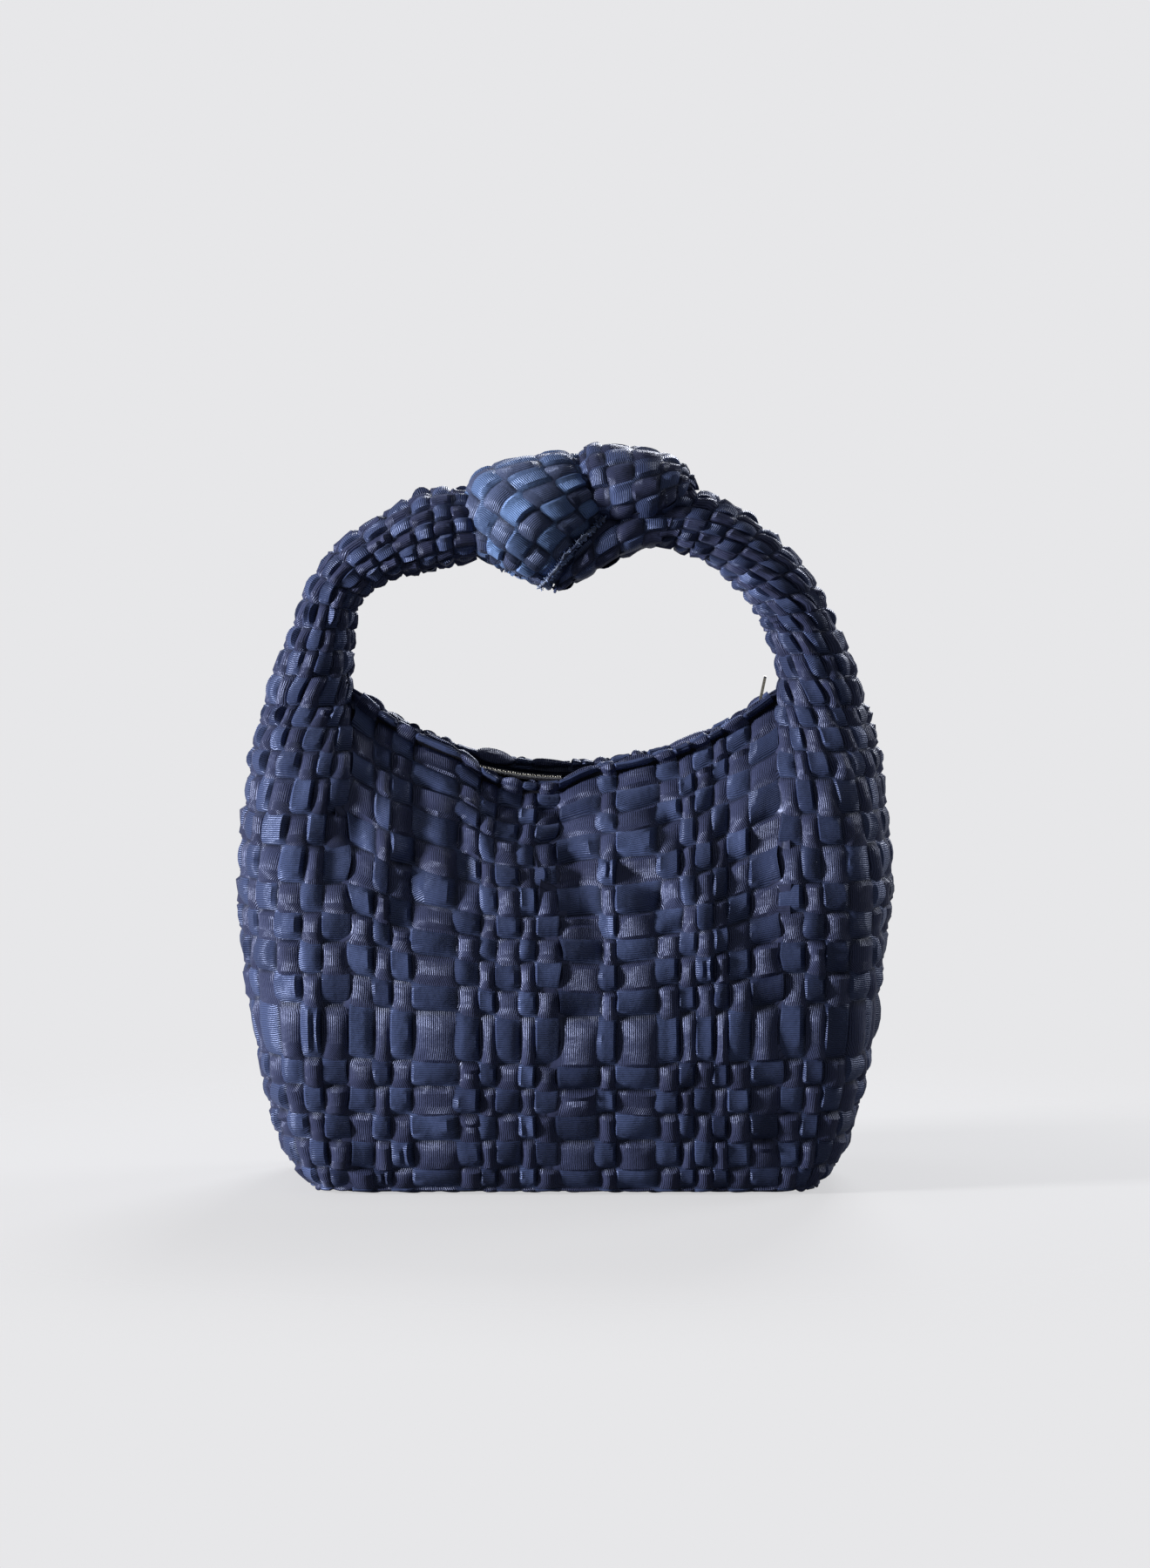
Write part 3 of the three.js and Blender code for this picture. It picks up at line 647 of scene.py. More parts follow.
    # height over the guide: loft, puff, tilt both ways, and the fold of a pinched cell
    crown = 1 - given["Crown"] * g.math("POWER", g.math("ABSOLUTE", lateral), 2.2)
    puff = given["Puff"] * (g.chance(cellId, seed, 0.3, 1.6) + pinched)
    tilt = given["Tilt"] * g.chance(cellId, seed + 11, -1.0, 1.0)
    pitchUp = given["Tilt"] * g.chance(cellId, seed + 12, -1.0, 1.0)
    onwards = g.math("FRACT", run) - 0.5
    fold = 1 - g.math("MINIMUM", g.math("ABSOLUTE", lateral * 1.6), 1.0)
    height = (over * 1.45 - 0.45) * given["Loft"] * floating + over * arch * (puff * crown)
    height = height + over * floating * (tilt * lateral + pitchUp * onwards)
    height = (height - pinched * arch * (given["Pinch"] * fold)) * spacing["Z"]
    # what the material reads: across, along and warp or weft; two tone draws and how high it lies,
    # for painted shade
    along = g.blend(weft, reach["Y"], reach["X"])
    marked = g.store(flat, "ribbonPlace", g.combine(lateral * 0.5 + 0.5, along, weft))
    marked = g.store(marked, "ribbonToneAndShade", g.combine(
        g.chance(ribbon, seed + 5), g.chance(cellId, seed + 6), side * floating * 0.5 + 0.5))
    lifted = g.vector("ADD", spot, g.scaled(outward, height - given["Sink"]))
    return g.finish("Ribbons", g.out("GeometryNodeSetPosition", {
        "Geometry": marked, "Position": lifted}))


# Shader groups: ribs of the ribbon, its colour with painted shade under crossings and in the
# grooves, a twill, and fine scratches
def ribGroup():
    g = group("GrosgrainRibs", "ShaderNodeTree", {"Place": "Vector", "Pitch": 0.0008},
              {"Height": "Float", "Groove": "Float", "Edge": "Float"})
    place = g.separate(g.given["Place"])
    uneven = g.noise(g.combine(place["X"] * 3.0, place["Y"] * 160.0, place["Z"]), 1.0) - 0.5
    turn = (place["Y"] + uneven * 0.0006) / g.given["Pitch"] * math.pi
    wave = g.math("ABSOLUTE", g.math("SINE", turn))
    selvedge = g.ramp(g.math("ABSOLUTE", place["X"] * 2.0 - 1.0), 0.86, 0.98)
    height = g.math("POWER", wave, 0.7) * (1.0 - selvedge * 0.6)
    g.node("NodeGroupOutput", {"Height": height, "Groove": g.ramp(wave, 0.5, 0.05),
                               "Edge": selvedge})
    return g.tree


def colourAndShadeGroup():
    g = group("RibbonColour", "ShaderNodeTree", {
        "Place": "Vector", "Tint": "Vector", "Groove": 0.0, "Edge": 0.0, "Deep": "Color",
        "Bright": "Color", "Crossing": "Color"}, {"Color": "Color"})
    given, place, toneAndShade = g.given, g.separate(g.given["Place"]), g.separate(g.given["Tint"])
    # Tint holds two tone draws in X and Y, and in Z how high the ribbon lies, which sets painted
    # shade
    cloth = g.tones(toneAndShade["X"] * 0.55 + toneAndShade["Y"] * 0.45, given["Deep"], given["Bright"])
    cloth = g.tones(place["Z"] * 0.75, cloth, given["Crossing"])
    # painted shade: where a ribbon dives under its neighbour its colour darkens towards near-black
    cloth = g.tones(g.ramp(toneAndShade["Z"], 0.75, 0.1) * 0.75, cloth, (0.004, 0.005, 0.012, 1))
    # painted shade in the rib grooves between the ribs
    cloth = g.tones(given["Groove"] * 0.62, cloth, (0.006, 0.008, 0.02, 1))
    worn = given["Edge"] * g.ramp(g.noise(given["Place"], 60.0), 0.45, 0.7)
    g.node("NodeGroupOutput", {"Color": g.tones(worn * 0.1, cloth, (0.12, 0.14, 0.24, 1))})
    return g.tree


def twillGroup():
    g = group("Twill", "ShaderNodeTree", {"Vector": "Vector", "Pitch": 0.0012},
              {"Height": "Float", "Slub": "Float"})
    at, pitch = g.separate(g.given["Vector"]), g.given["Pitch"]
    flat = at["X"] + at["Y"]
    slant = g.math("SINE", (flat + at["Z"]) / pitch * math.pi)
    thread = g.math("SINE", (flat - at["Z"]) / pitch * (2.0 * math.pi))
    g.node("NodeGroupOutput", {"Height": g.math("ABSOLUTE", slant) * (thread * 0.2 + 0.8),
                               "Slub": g.noise(g.given["Vector"], 220.0, 4.0)})
    return g.tree


def scratchGroup():
    g = group("FineScratches", "ShaderNodeTree", {"Vector": "Vector"},
              {"Value": "Float", "Height": "Float"})
    stretched = g.vector("MULTIPLY", g.given["Vector"], (300.0, 1600.0, 1600.0))
    lines, blotch = g.noise(stretched, 1.0, 3.0), g.noise(g.given["Vector"], 260.0, 3.0)
    g.node("NodeGroupOutput", {"Value": (lines + blotch) * 0.5, "Height": lines})
    return g.tree


groups = {"ribs": ribGroup(), "colour": colourAndShadeGroup(), "twill": twillGroup(),
          "scratches": scratchGroup()}


def material(name, fixed):
    made = bpy.data.materials.new(name)
    made.use_nodes = True
    g = Graph(made.node_tree)
    g.shader, g.material = g.node("ShaderNodeBsdfPrincipled", fixed), made
    g.node("ShaderNodeOutputMaterial", {"Surface": g.result(g.shader)})
    g.coordinates = g.outputs("ShaderNodeTexCoord")["Object"]
    return g


def dress(g, values):
    for key, value in values.items():
        g.feed(g.shader.inputs[key], value)
    return g.material


def attribute(g, name):
    return g.outputs("ShaderNodeAttribute", attribute_name=name)["Vector"]


def groupNode(g, key, inputs):
    return g.outputs("ShaderNodeGroup", inputs, node_tree=groups[key])


def ribbonMaterial(name, deep, bright, crossing):
    g = material(name, {
        "Metallic": 0.12, "Sheen Weight": 0.1, "Sheen Roughness": 0.4,
        "Sheen Tint": linear(170, 185, 235), "Specular IOR Level": 0.4,
        "Specular Tint": linear(210, 222, 250)})
    place = attribute(g, "ribbonPlace")
    ribs = groupNode(g, "ribs", {"Place": place, "Pitch": 0.00085})
    # the colour group adds painted shade under the crossings and in the rib grooves
    colour = groupNode(g, "colour", {
        "Place": place, "Tint": attribute(g, "ribbonToneAndShade"), "Groove": ribs["Groove"],
        "Edge": ribs["Edge"], "Deep": deep, "Bright": bright, "Crossing": crossing})
    crumple = g.bump(g.noise(g.coordinates, 170.0), 0.5, 0.0012)
    return dress(g, {"Base Color": colour["Color"], "Roughness": ribs["Groove"] * 0.25 + 0.33,
                     "Normal": g.bump(ribs["Height"], 0.85, 0.00026, crumple)})


def clothMaterial(name, colour, accent, pitch, strength=0.5, low=0.5):
    g = material(name, {"Roughness": 0.85, "Sheen Weight": 0.1, "Sheen Roughness": 0.5,
                        "Specular IOR Level": 0.25})
    twill = groupNode(g, "twill", {"Vector": g.coordinates, "Pitch": pitch})
    shade = twill["Height"] * g.ramp(twill["Slub"], 0.3, 0.7, low, 1.0)
    return dress(g, {"Base Color": g.tones(shade, accent, colour),
                     "Normal": g.bump(twill["Height"], strength, 0.0002)})


def metalMaterial(name, colour, tarnish, roughness):
    g = material(name, {"Metallic": 1.0})
    marks = groupNode(g, "scratches", {"Vector": g.coordinates})
    return dress(g, {"Base Color": g.tones(g.ramp(marks["Value"], 0.35, 0.65), tarnish, colour),
                     "Roughness": marks["Value"] * 0.2 + roughness,
                     "Normal": g.bump(marks["Height"], 0.15, 0.0001)})


tones = {
    "deep": linear(40, 48, 80), "bright": linear(88, 103, 150), "crossing": linear(62, 65, 96),
    "wrapDeep": linear(56, 66, 100), "wrapBright": linear(132, 166, 228),
    "wrapCrossing": linear(84, 90, 122), "lining": linear(24, 27, 48),
    "liningAccent": linear(10, 11, 22), "tape": linear(22, 25, 44), "sleeve": linear(16, 19, 38),
    "metal": linear(214, 210, 198), "tarnish": linear(150, 144, 130),
    "board": linear(150, 142, 128), "boardDark": linear(96, 90, 80),
    "fray": linear(206, 222, 252), "frayDark": linear(132, 158, 216),
}
materials = {
    "ribbon": ribbonMaterial("ribbon", tones["deep"], tones["bright"], tones["crossing"]),
    "wrap": ribbonMaterial("ribbonWrap", tones["wrapDeep"], tones["wrapBright"],
                           tones["wrapCrossing"]),
    "lining": clothMaterial("lining", tones["lining"], tones["liningAccent"], 0.0011),
    "tape": clothMaterial("zipTape", tones["tape"], tones["liningAccent"], 0.0007, 0.7),
    "sleeve": clothMaterial("sleeve", tones["sleeve"], tones["liningAccent"], 0.0016),
    "thread": clothMaterial("thread", tones["fray"], tones["frayDark"], 0.0009),
    "seam": clothMaterial("seam", tones["fray"], tones["wrapDeep"], 0.0009, low=-0.2),
    "metal": metalMaterial("nickel", tones["metal"], tones["tarnish"], 0.16),
    "board": clothMaterial("board", tones["board"], tones["boardDark"], 0.003, 0.2),
}
print(len(materials), "materials")


def grow(holder, tree, values):       # a tree on an object, its sockets set by identifier
    modifier = holder.modifiers.new(tree.name, "NODES")
    modifier.node_group = tree
    for item in tree.interface.items_tree:
        if item.item_type == "SOCKET" and item.in_out == "INPUT" and item.name in values:
            modifier[item.identifier] = values[item.name]


def thicken(holder, thickness, offset):
    thick = holder.modifiers.new("thickness", "SOLIDIFY")
    thick.thickness, thick.offset = thickness * mm, offset


def smoothFaces(mesh):
    for face in mesh.polygons:
        face.use_smooth = True


# The finished mesh of an object, as an object of its own
def plain(source, name):
    graph = bpy.context.evaluated_depsgraph_get()
    mesh = bpy.data.meshes.new_from_object(
        source.evaluated_get(graph), preserve_all_data_layers=True, depsgraph=graph)
    old = source.data
    bpy.data.objects.remove(source)
    bpy.data.meshes.remove(old)
    mesh.name = name
    return linked(name, mesh)


def fasten(piece, replaced, body, blendTo=None):
    if blendTo:
        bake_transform(piece)
    else:
        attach(piece, body)
    if replaced:
        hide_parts(*replaced)


def onFloor(row):                     # the weave lies flatter where the bag stands
    return 0.35 + 0.65 * smooth(0.4, 1.7, row)


weave = weaveTree()
ribbonCloth = {"thickness": 0.34, "sharpFrom": 38, "fineness": 4, "reach": 0.45}


def woven(name, rowOfPoints, columns, rows, materialName, relief=lambda row: 1, **values):
    guide = guideMesh(name + "_guide", rowOfPoints, columns, rows, ribbonCloth["fineness"],
                      ribbonCloth["reach"], relief)
    grow(guide, weave, {
        "First Column": columns[0], "Columns": columns[1] - columns[0], "First Row": rows[0],
        "Rows": rows[1] - rows[0], "Material": materials[materialName], **values})
    thicken(guide, ribbonCloth["thickness"], -1)
    piece = plain(guide, name)
    piece.data.set_sharp_from_angle(angle=math.radians(ribbonCloth["sharpFrom"]))
    print(name, len(piece.data.vertices), "vertices")
    return piece


# Lining, sleeve or core at an inset in mm behind the cloth's face; slack lets it sag a little
def shell(name, rowOfPoints, columns, rows, inset, thickness, materialName, slack=0.3):
    guide = guideMesh(name + "_guide", rowOfPoints, columns, rows, 2)
    outward = np.zeros(len(guide.data.vertices) * 3, np.float32)
    guide.data.attributes["outward"].data.foreach_get("vector", outward)
    for vertex, x, y, z in zip(guide.data.vertices, outward[::3], outward[1::3], outward[2::3]):
        sag = abs(slack * noise.noise(vertex.co * 45))
        vertex.co -= Vector((x, y, z)) * (inset + sag) * mm
    smoothFaces(guide.data)
    guide.data.materials.append(materials[materialName])
    if thickness:
        thicken(guide, thickness, -1)
    rounded = guide.modifiers.new("rounded", "SUBSURF")
    rounded.levels = rounded.render_levels = 1
    return plain(guide, name)


def wallRow(side, first):
    return lambda row, columns: [wallPlace(side, column - first, row) for column in columns]


def sideRow(turn, first):
    def points(row, columns):
        local = [column - first for column in columns]
        return gussetRow(turn, row, local if turn > 0 else [gussetColumns - c for c in local])
    return points


def foldRows(name, rows, count, twist, first):
    def points(row, columns):         # columns run backwards, so that the cloth faces out
        local = [count - (column - first) for column in columns]
        return foldRow(knotSurfaces[name], row, rows, local, count, twist)
    return points


# Walls, each in two halves at the mouth's flaps: side, first column and columns
wallPieces = {
    "front_left": (-1, 0, (0, 9)), "front_right": (-1, 0, (9, 18)),
    "back_right": (1, 34, (34, 43)), "back_left": (1, 34, (43, 52)),
}
wallParts = {"topRow": 19, "liningRows": (1, 17), "coreRows": (16, 19), "coreInset": 1.9}
for half, (side, first, columns) in wallPieces.items():
    wall, flap, points = half.split("_")[0], "mouth_" + half, wallRow(side, first)
    fasten(woven("weave_" + half, points, columns, (0, wallParts["topRow"]), "ribbon", onFloor),
           [wall + "_panel", half + "_flap", half + "_hem"], "bag", flap)
    fasten(shell("lining_" + half, points, columns, wallParts["liningRows"],
                 size["liningOffset"], size["lining"], "lining"),
           [wall + "_lining", half + "_flap_lining"], "bag", flap)
    fasten(shell("hem_core_" + half, points, columns, wallParts["coreRows"],
                 wallParts["coreInset"], 0, "tape", slack=0), [], "bag", flap)
print("walls done")

# Gussets with their horns and arms, in one weave
sidePieces = {"right": (1, 18), "left": (-1, 52)}
sideParts = {"liningRows": (1, 15), "sleeveGap": 0.6}
for wall, (turn, first) in sidePieces.items():
    rows, columns = rimRow + armRows, (first, first + gussetColumns)
    points = sideRow(turn, first)
    fasten(woven("weave_side_" + wall, points, columns, (0, rows), "ribbon", onFloor),
           [wall + "_side_panel", wall + "_arm"], "bag", "handle")
    fasten(shell("lining_side_" + wall, points, columns, sideParts["liningRows"],
                 size["liningOffset"], size["lining"], "lining"),
           [wall + "_side_lining"], "bag")
    fasten(shell("sleeve_arm_" + wall, points, columns, (rimRow, rows),
                 size["coreOffset"] - sideParts["sleeveGap"], 0, "sleeve"),
           [wall + "_arm_core"], "bag", "handle")
print("sides done")

# Folds of the knot: rows along, columns round, twist in turns
folds = {
    "knot_wrap": {"rows": 7, "columns": 16, "twist": 0.0, "first": 100, "material": "wrap",
                  "slot": "ribbon_light"},
    "knot_loop": {"rows": 6, "columns": 12, "twist": 0.22, "first": 120, "material": "ribbon",
                  "slot": "ribbon"},
    "knot_under": {"rows": 5, "columns": 8, "twist": 0.1, "first": 140, "material": "ribbon",
                   "slot": "ribbon"},
}
foldParts = {"coreInset": 4.2, "relief": {"Loft": 0.0010, "Puff": 0.0006}}
for name, fold in folds.items():
    points = foldRows(name, fold["rows"], fold["columns"], fold["twist"], fold["first"])
    columns, rows = (fold["first"], fold["first"] + fold["columns"]), (-1, fold["rows"] + 1)
    fasten(woven("weave_" + name, points, columns, rows, fold["material"],
                 **foldParts["relief"]), [name], "handle")
    fasten(shell("core_" + name, points, columns, rows, foldParts["coreInset"], 0, "sleeve",
                 slack=0), [], "handle")
print("knot done")


# A sheet from rows of places in metres, thick to both sides
def strip(name, rows, thickness, materialName):
    mesh = bpy.data.meshes.new(name)
    mesh.from_pydata([tuple(p) for row in rows for p in row], [],
                     gridFaces(len(rows), len(rows[0])))
    smoothFaces(mesh)
    mesh.materials.append(materials[materialName])
    made = linked(name, mesh)
    thicken(made, thickness, 0)
    return plain(made, name)


# Frayed seam along the wrapping fold's lower edge: a ragged strip, stitches and loose threads
seam = {"place": -0.8, "from": 0.19, "to": 0.8, "width": 2.3, "lift": 1.0, "crest": 0.6,
        "thickness": 0.4, "threads": 190, "threadLength": 3.4, "stitches": 9, "seed": 5}


def seamFrame(t):
    surface = knotSurfaces["knot_wrap"]
    spot = surface(seam["place"], t)
    forwards = surface(seam["place"], t + 0.01) - spot
    outwards = surface(seam["place"] - 0.01, t) - spot
    away = outwards / np.linalg.norm(outwards)
    normal = np.cross(away, forwards)
    return spot, away, normal / np.linalg.norm(normal)


def threadTree():
    g = group("FrayedThreads", "GeometryNodeTree", {
        "Path": "Geometry", "Threads": 60, "Thread Length": 0.0034, "Thread Radius": 0.00021,
        "Stitches": 20, "Stitch Length": 0.0026, "Stitch Radius": 0.00028, "Stitch Lift": 0.002,
        "Seed": 5, "Material": "Material"}, {"Seam": "Geometry"})
    given, index = g.given, g.out("GeometryNodeInputIndex")
    path = g.out("GeometryNodeMeshToCurve", {"Mesh": given["Path"]})
    away, outward = g.stored("away"), g.stored("outward")

    def chance(shift, low, high):
        return g.chance(index, given["Seed"] + shift, low, high)

    def cord(length, radius, middle, end):
        line = g.out("GeometryNodeCurveQuadraticBezier", {
            "Resolution": 4, "Start": g.scaled((0.0, 0.0, -0.5), length),
            "Middle": g.scaled(middle, length), "End": g.scaled(end, length)})
        ring = g.out("GeometryNodeCurvePrimitiveCircle", {"Resolution": 5, "Radius": radius})
        return g.out("GeometryNodeCurveToMesh", {"Curve": line, "Profile Curve": ring,
                                                 "Fill Caps": True})

    def placed(count, thread, direction, offset, scale):
        spots = g.out("GeometryNodeResampleCurve", {"Curve": path, "Count": count})
        moved = g.out("GeometryNodeSetPosition", {"Geometry": spots, "Offset": offset})
        turned = g.out("FunctionNodeAlignRotationToVector", {"Vector": direction}, axis="Z")
        return g.out("GeometryNodeInstanceOnPoints", {
            "Points": moved, "Instance": thread, "Rotation": turned,
            "Scale": g.combine(scale, scale, scale)})

    untidy = g.combine(chance(2, -0.6, 0.6), chance(3, -0.4, 0.4), chance(4, -0.6, 0.6))
    raised = g.vector("ADD", g.scaled(outward, chance(1, -0.3, 0.9)), untidy)
    slide = g.vector("ADD", g.scaled(away, chance(5, 0.1, 0.7) * given["Stitch Length"]),
                     g.scaled(outward, chance(6, 0.3, 0.8) * given["Stitch Lift"]))
    thread = cord(given["Thread Length"], given["Thread Radius"], (0.12, 0.05, 0.0),
                  (-0.1, 0.16, 0.5))
    threads = placed(given["Threads"], thread, g.vector("ADD", away, raised), slide,
                     chance(7, 0.4, 1.2))
    stitch = cord(given["Stitch Length"], given["Stitch Radius"], (0.0, 0.0, 0.0),
                  (0.0, 0.0, 0.5))
    across = g.vector("ADD", away, g.combine(chance(8, -0.8, 0.8), 0.0, chance(9, -0.8, 0.8)))
    stitches = placed(given["Stitches"], stitch, across, g.scaled(outward, given["Stitch Lift"]),
                      chance(10, 0.8, 1.1))
    return g.finish("Seam", g.join(threads, stitches))


seamFrames = [seamFrame(t) for t in np.linspace(seam["from"], seam["to"], 64)]
path = bpy.data.meshes.new("seamPath")
path.from_pydata([tuple(spot * mm) for spot, away, normal in seamFrames],
                 [(k, k + 1) for k in range(len(seamFrames) - 1)], [])
keepVectors(path, "away", [away for spot, away, normal in seamFrames])
keepVectors(path, "outward", [normal for spot, away, normal in seamFrames])
holder = linked("seam_threads", path)
grow(holder, threadTree(), {
    "Threads": seam["threads"], "Thread Length": seam["threadLength"] * mm,
    "Stitches": seam["stitches"], "Stitch Length": seam["width"] * mm,
    "Stitch Lift": (seam["lift"] + seam["crest"]) * mm, "Seed": seam["seed"],
    "Material": materials["thread"]})
fasten(plain(holder, "seam_threads"), [], "handle")


def seamRow(share):
    found = []
    for k, (spot, away, normal) in enumerate(seamFrames):
        ragged = 0.75 + 1.1 * wavy(k, math.copysign(2, share), 6.6, 0.55)
        aside = seam["width"] * share * ragged + 0.9 * wavy(k, 0, 2.2, 0.16)
        height = seam["lift"] + seam["crest"] * (1 - (2 * share) ** 2) + 0.5 * wavy(k, 5, 3.8, 0.3)
        found.append((spot + away * aside + normal * height) * mm)
    return found


fasten(strip("seam_strip", [seamRow(share) for share in np.linspace(-0.5, 0.5, 7)],
             seam["thickness"], "seam"), [], "handle")
print("seam done")


# Base: columns across and rows from the back to the front, seen from below
base = {"columns": 20, "rows": 10, "firstRow": 47.5, "rowDepth": 9.5, "halfWidth": 103.5,
        "halfDepth": 52, "liningInset": 5.2, "lining": 0.7}
baseRelief = {"Loft": 0.0007, "Sink": 0.00135, "Puff": 0.0002, "Tilt": 0.0002}


def baseRows(first):
    def points(row, columns):
        y = base["firstRow"] - base["rowDepth"] * row
        reach = base["halfWidth"] * (1 - abs(y / base["halfDepth"]) ** 5) ** 0.2
        return [np.array([reach * (2 * (column - first) / base["columns"] - 1), y, 0.0])
                for column in columns]
    return points


fasten(woven("weave_base", baseRows(200), (200, 200 + base["columns"]), (0, base["rows"]), "ribbon",
             **baseRelief), ["base_panel"], "bag")
fasten(shell("lining_base", baseRows(0), (0, base["columns"]), (0, base["rows"]),
             base["liningInset"], base["lining"], "lining"), ["base_lining"], "bag")
print("base done")


# The zip: a tape and a row of teeth on each side of the mouth, in four parts
zipShape = {"pitch": 2.13, "middleGap": 1.35, "endLeft": 65.4, "endRight": 76.4,
            "tapeInner": 1.9, "tapeThickness": 0.7, "tapeToHem": 1.2, "tapeSag": 0.5,
            "toothFromMiddle": 0.75, "firstFront": 0.97, "firstBack": 1.47, "endClear": 1.4}


def teethTree():
    g = group("ZipTeeth", "GeometryNodeTree", {
        "Places": "Geometry", "Tooth Length": 0.0008, "Tooth Reach": 0.0034,
        "Tooth Height": 0.0019, "Material": "Material"}, {"Teeth": "Geometry"})
    length, reach, height = (g.given["Tooth " + side] for side in ("Length", "Reach", "Height"))
    body = g.out("GeometryNodeMeshCube", {"Size": g.combine(length, reach, height),
                                          "Vertices X": 2, "Vertices Y": 3, "Vertices Z": 2})
    nub = g.out("GeometryNodeMeshCube", {
        "Size": g.combine(length * 1.15, reach * 0.3, height * 0.6)})
    moved = g.out("GeometryNodeTransform", {
        "Geometry": nub, "Translation": g.combine(0.0, reach * 0.34)})
    tooth = g.out("GeometryNodeSubdivisionSurface", {
        "Mesh": g.join(body, moved), "Level": 1, "Edge Crease": 0.55})
    turned = g.out("FunctionNodeEulerToRotation", {"Euler": g.stored("turn")})
    return g.finish("Teeth", g.out("GeometryNodeInstanceOnPoints", {
        "Points": g.given["Places"], "Instance": tooth, "Rotation": turned}))


def tapeRow(side, angles, share):     # from the teeth to the hem
    inner, radius = zipShape["tapeInner"], size["zipRadius"]
    sagged = radius - zipShape["tapeSag"] * math.sin(share * math.pi)
    row = []
    for angle in angles:
        outer = hemDepth(radius * math.sin(angle)) - zipShape["tapeToHem"]
        row.append(onArc(angle, sagged, side * (inner + (outer - inner) * share)) * mm)
    return row


teethNodes = teethTree()
for half, (side, first, columns) in wallPieces.items():
    turn, radius = -1 if half.endswith("left") else 1, size["zipRadius"]
    endX = zipShape["endLeft" if turn < 0 else "endRight"]
    angles = np.linspace(turn * zipShape["middleGap"] / radius, turn * math.asin(endX / radius), 40)
    rows = [tapeRow(side, angles, share) for share in np.linspace(0, 1, 6)]
    fasten(strip("tape_" + half, rows, zipShape["tapeThickness"], "tape"),
           [half + "_tape"], "mouth_" + half)
    shift = zipShape["firstFront" if side < 0 else "firstBack"]
    count = int((endX - zipShape["endClear"]) / zipShape["pitch"] - shift + 0.5)
    angles = [turn * (k + shift) * zipShape["pitch"] / radius for k in range(count)]
    mesh = bpy.data.meshes.new("teeth")
    mesh.from_pydata([tuple(onArc(angle, radius, side * zipShape["toothFromMiddle"]) * mm)
                      for angle in angles], [], [])
    keepVectors(mesh, "turn", [(0, -angle, 0 if side > 0 else math.pi) for angle in angles])
    holder = linked("teeth_" + half, mesh)
    grow(holder, teethNodes, {"Material": materials["metal"]})
    fasten(plain(holder, "teeth_" + half), [half + "_teeth"], "mouth_" + half)
print("zip done")


# Metal parts keep their CAD form with rounded edges, and the sewn-in ends keep theirs, set in a
# little
rounding = {"zip_slider": 0.25, "zip_slider_plate": 0.25, "zip_puller": 0.3,
            "zip_bottom_stop": 0.25, "zip_top_stop": 0.25}
bodyOf = {"zip_slider": "slider", "zip_slider_plate": "slider", "zip_puller": "puller"}
endInset = 0.1                        # the sewn-in ends lie clear of the lining


def refined(node, materialName, width):
    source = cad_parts[node]
    mesh = source.data.copy()
    mesh.materials.clear()
    mesh.materials.append(materials[materialName])
    made = linked(node + "_finished", mesh)
    made.matrix_world = source.matrix_world
    if width:
        bevel = made.modifiers.new("edges", "BEVEL")
        bevel.width, bevel.segments, bevel.limit_method = width * mm, 2, "ANGLE"
        bevel.angle_limit = math.radians(35)
    else:
        for vertex in mesh.vertices:
            vertex.co -= vertex.normal * endInset * mm
    piece = plain(made, node + "_finished")
    smoothFaces(piece.data)
    fasten(piece, [node], bodyOf.get(node, "bag"))


for node, width in rounding.items():
    refined(node, "metal", width)
for node in ("left_zip_end", "right_zip_end"):
    refined(node, "tape", 0)
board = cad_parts["base_board"]
board.data.materials.clear()
board.data.materials.append(materials["board"])
print("metal parts, zip ends and board done")


# Floor, camera and light
studio = {"tone": linear(231, 231, 233), "floorTone": linear(128, 128, 130), "glow": 0.7,
          "radius": 0.6, "fadeFrom": 0.2, "fadeTo": 0.45, "lightsLookAt": (0, 0, 0.15),
          "skyTone": (0.8, 0.84, 0.9, 1), "sky": 0.06, "mirrored": 0.28}


def floorMaterial():
    g = material("floor", {"Roughness": 0.9, "Base Color": studio["floorTone"],
                           "Emission Color": studio["tone"]})
    away, seen = g.vector("LENGTH", g.coordinates), g.outputs("ShaderNodeLightPath")
    return dress(g, {"Normal": g.bump(g.noise(g.coordinates, 60.0), 0.02, 0.001),
                     "Alpha": g.ramp(away, studio["fadeTo"], studio["fadeFrom"]),
                     "Emission Strength": seen["Is Camera Ray"] * studio["glow"]})


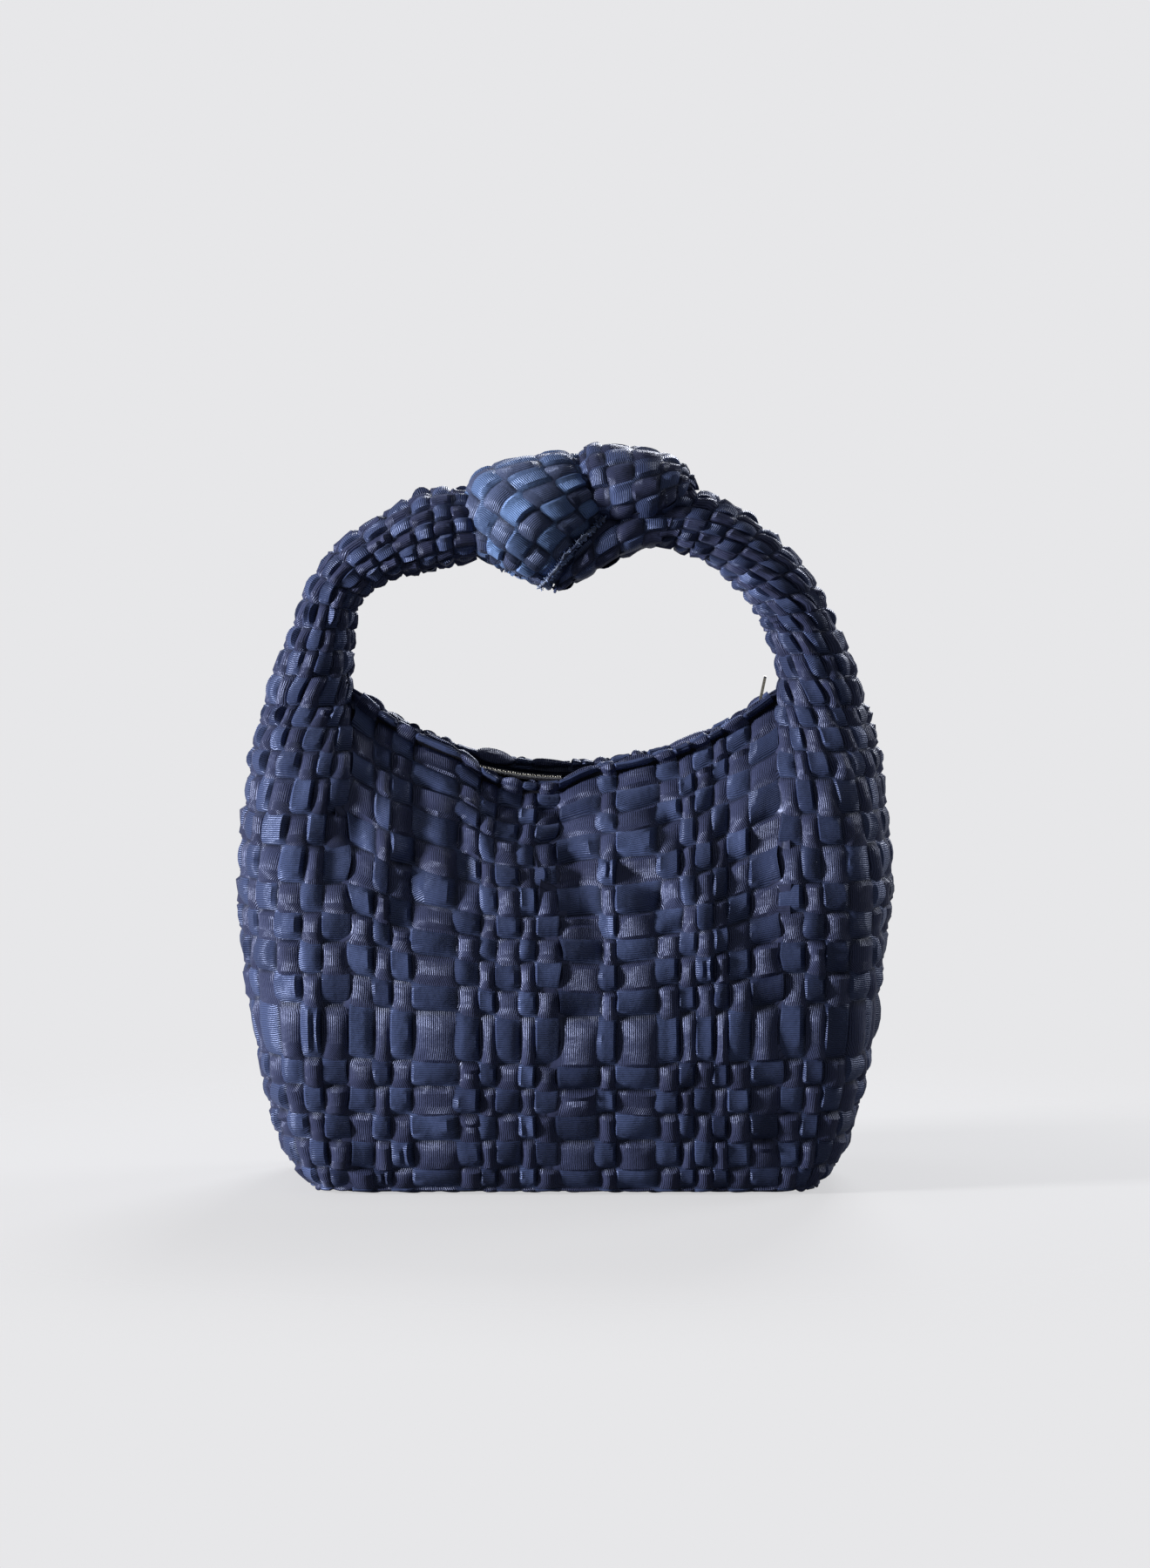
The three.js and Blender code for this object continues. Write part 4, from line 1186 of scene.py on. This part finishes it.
mesh = bpy.data.meshes.new("floor")
built = bmesh.new()
bmesh.ops.create_circle(built, cap_ends=True, segments=96, radius=studio["radius"])
built.to_mesh(mesh)
built.free()
mesh.materials.append(floorMaterial())
floor = linked("floor", mesh)

look = {"x": 0.0043, "z": 0.1685, "distance": 2.5, "elevation": 5.0, "lens": 135.0}
camera = linked("camera", bpy.data.cameras.new("camera"))
camera.data.sensor_width, camera.data.lens = 36, look["lens"]
rise = math.radians(look["elevation"])
camera.location = (look["x"], -look["distance"] * math.cos(rise),
                   look["z"] + look["distance"] * math.sin(rise))
camera.rotation_euler = (math.pi / 2 - rise, 0, 0)
scene.camera = camera

lights = {
    "key": {"at": (-2.15, -0.7, 0.5), "size": 0.45, "watts": 87, "tone": (1, 0.99, 0.97)},
    "top": {"at": (-0.5, 0.1, 2.1), "size": 0.8, "watts": 4, "tone": (0.96, 0.98, 1)},
    "side": {"at": (1.8, 1.0, 1.1), "size": 0.9, "watts": 14, "tone": (0.97, 0.98, 1)},
    "back": {"at": (0.5, 2.1, 1.3), "size": 0.9, "watts": 30, "tone": (0.97, 0.98, 1)},
}
for name, light in lights.items():
    lamp = bpy.data.lights.new(name, "AREA")
    lamp.size, lamp.energy, lamp.color = light["size"], light["watts"], light["tone"]
    holder = linked(name, lamp)
    holder.location = light["at"]
    towards = Vector(studio["lightsLookAt"]) - Vector(light["at"])
    holder.rotation_euler = towards.to_track_quat("-Z", "Y").to_euler()

world = bpy.data.worlds.new("studio")
scene.world = world
world.use_nodes = True
g = Graph(world.node_tree)
rays = g.outputs("ShaderNodeLightPath")
soft = g.out("ShaderNodeBackground", {"Color": studio["skyTone"], "Strength": studio["sky"]})
pale = g.out("ShaderNodeBackground", {"Color": studio["tone"], "Strength": 1.0})
straight = g.math("MAXIMUM", rays["Is Camera Ray"], rays["Is Transmission Ray"])
seen = g.math("MAXIMUM", straight, rays["Is Glossy Ray"] * studio["mirrored"])
g.node("ShaderNodeOutputWorld", {"Surface": g.call("ShaderNodeMixShader", seen, soft, pale)})
scene.view_settings.view_transform = "Standard"
print("floor, camera and lights done")
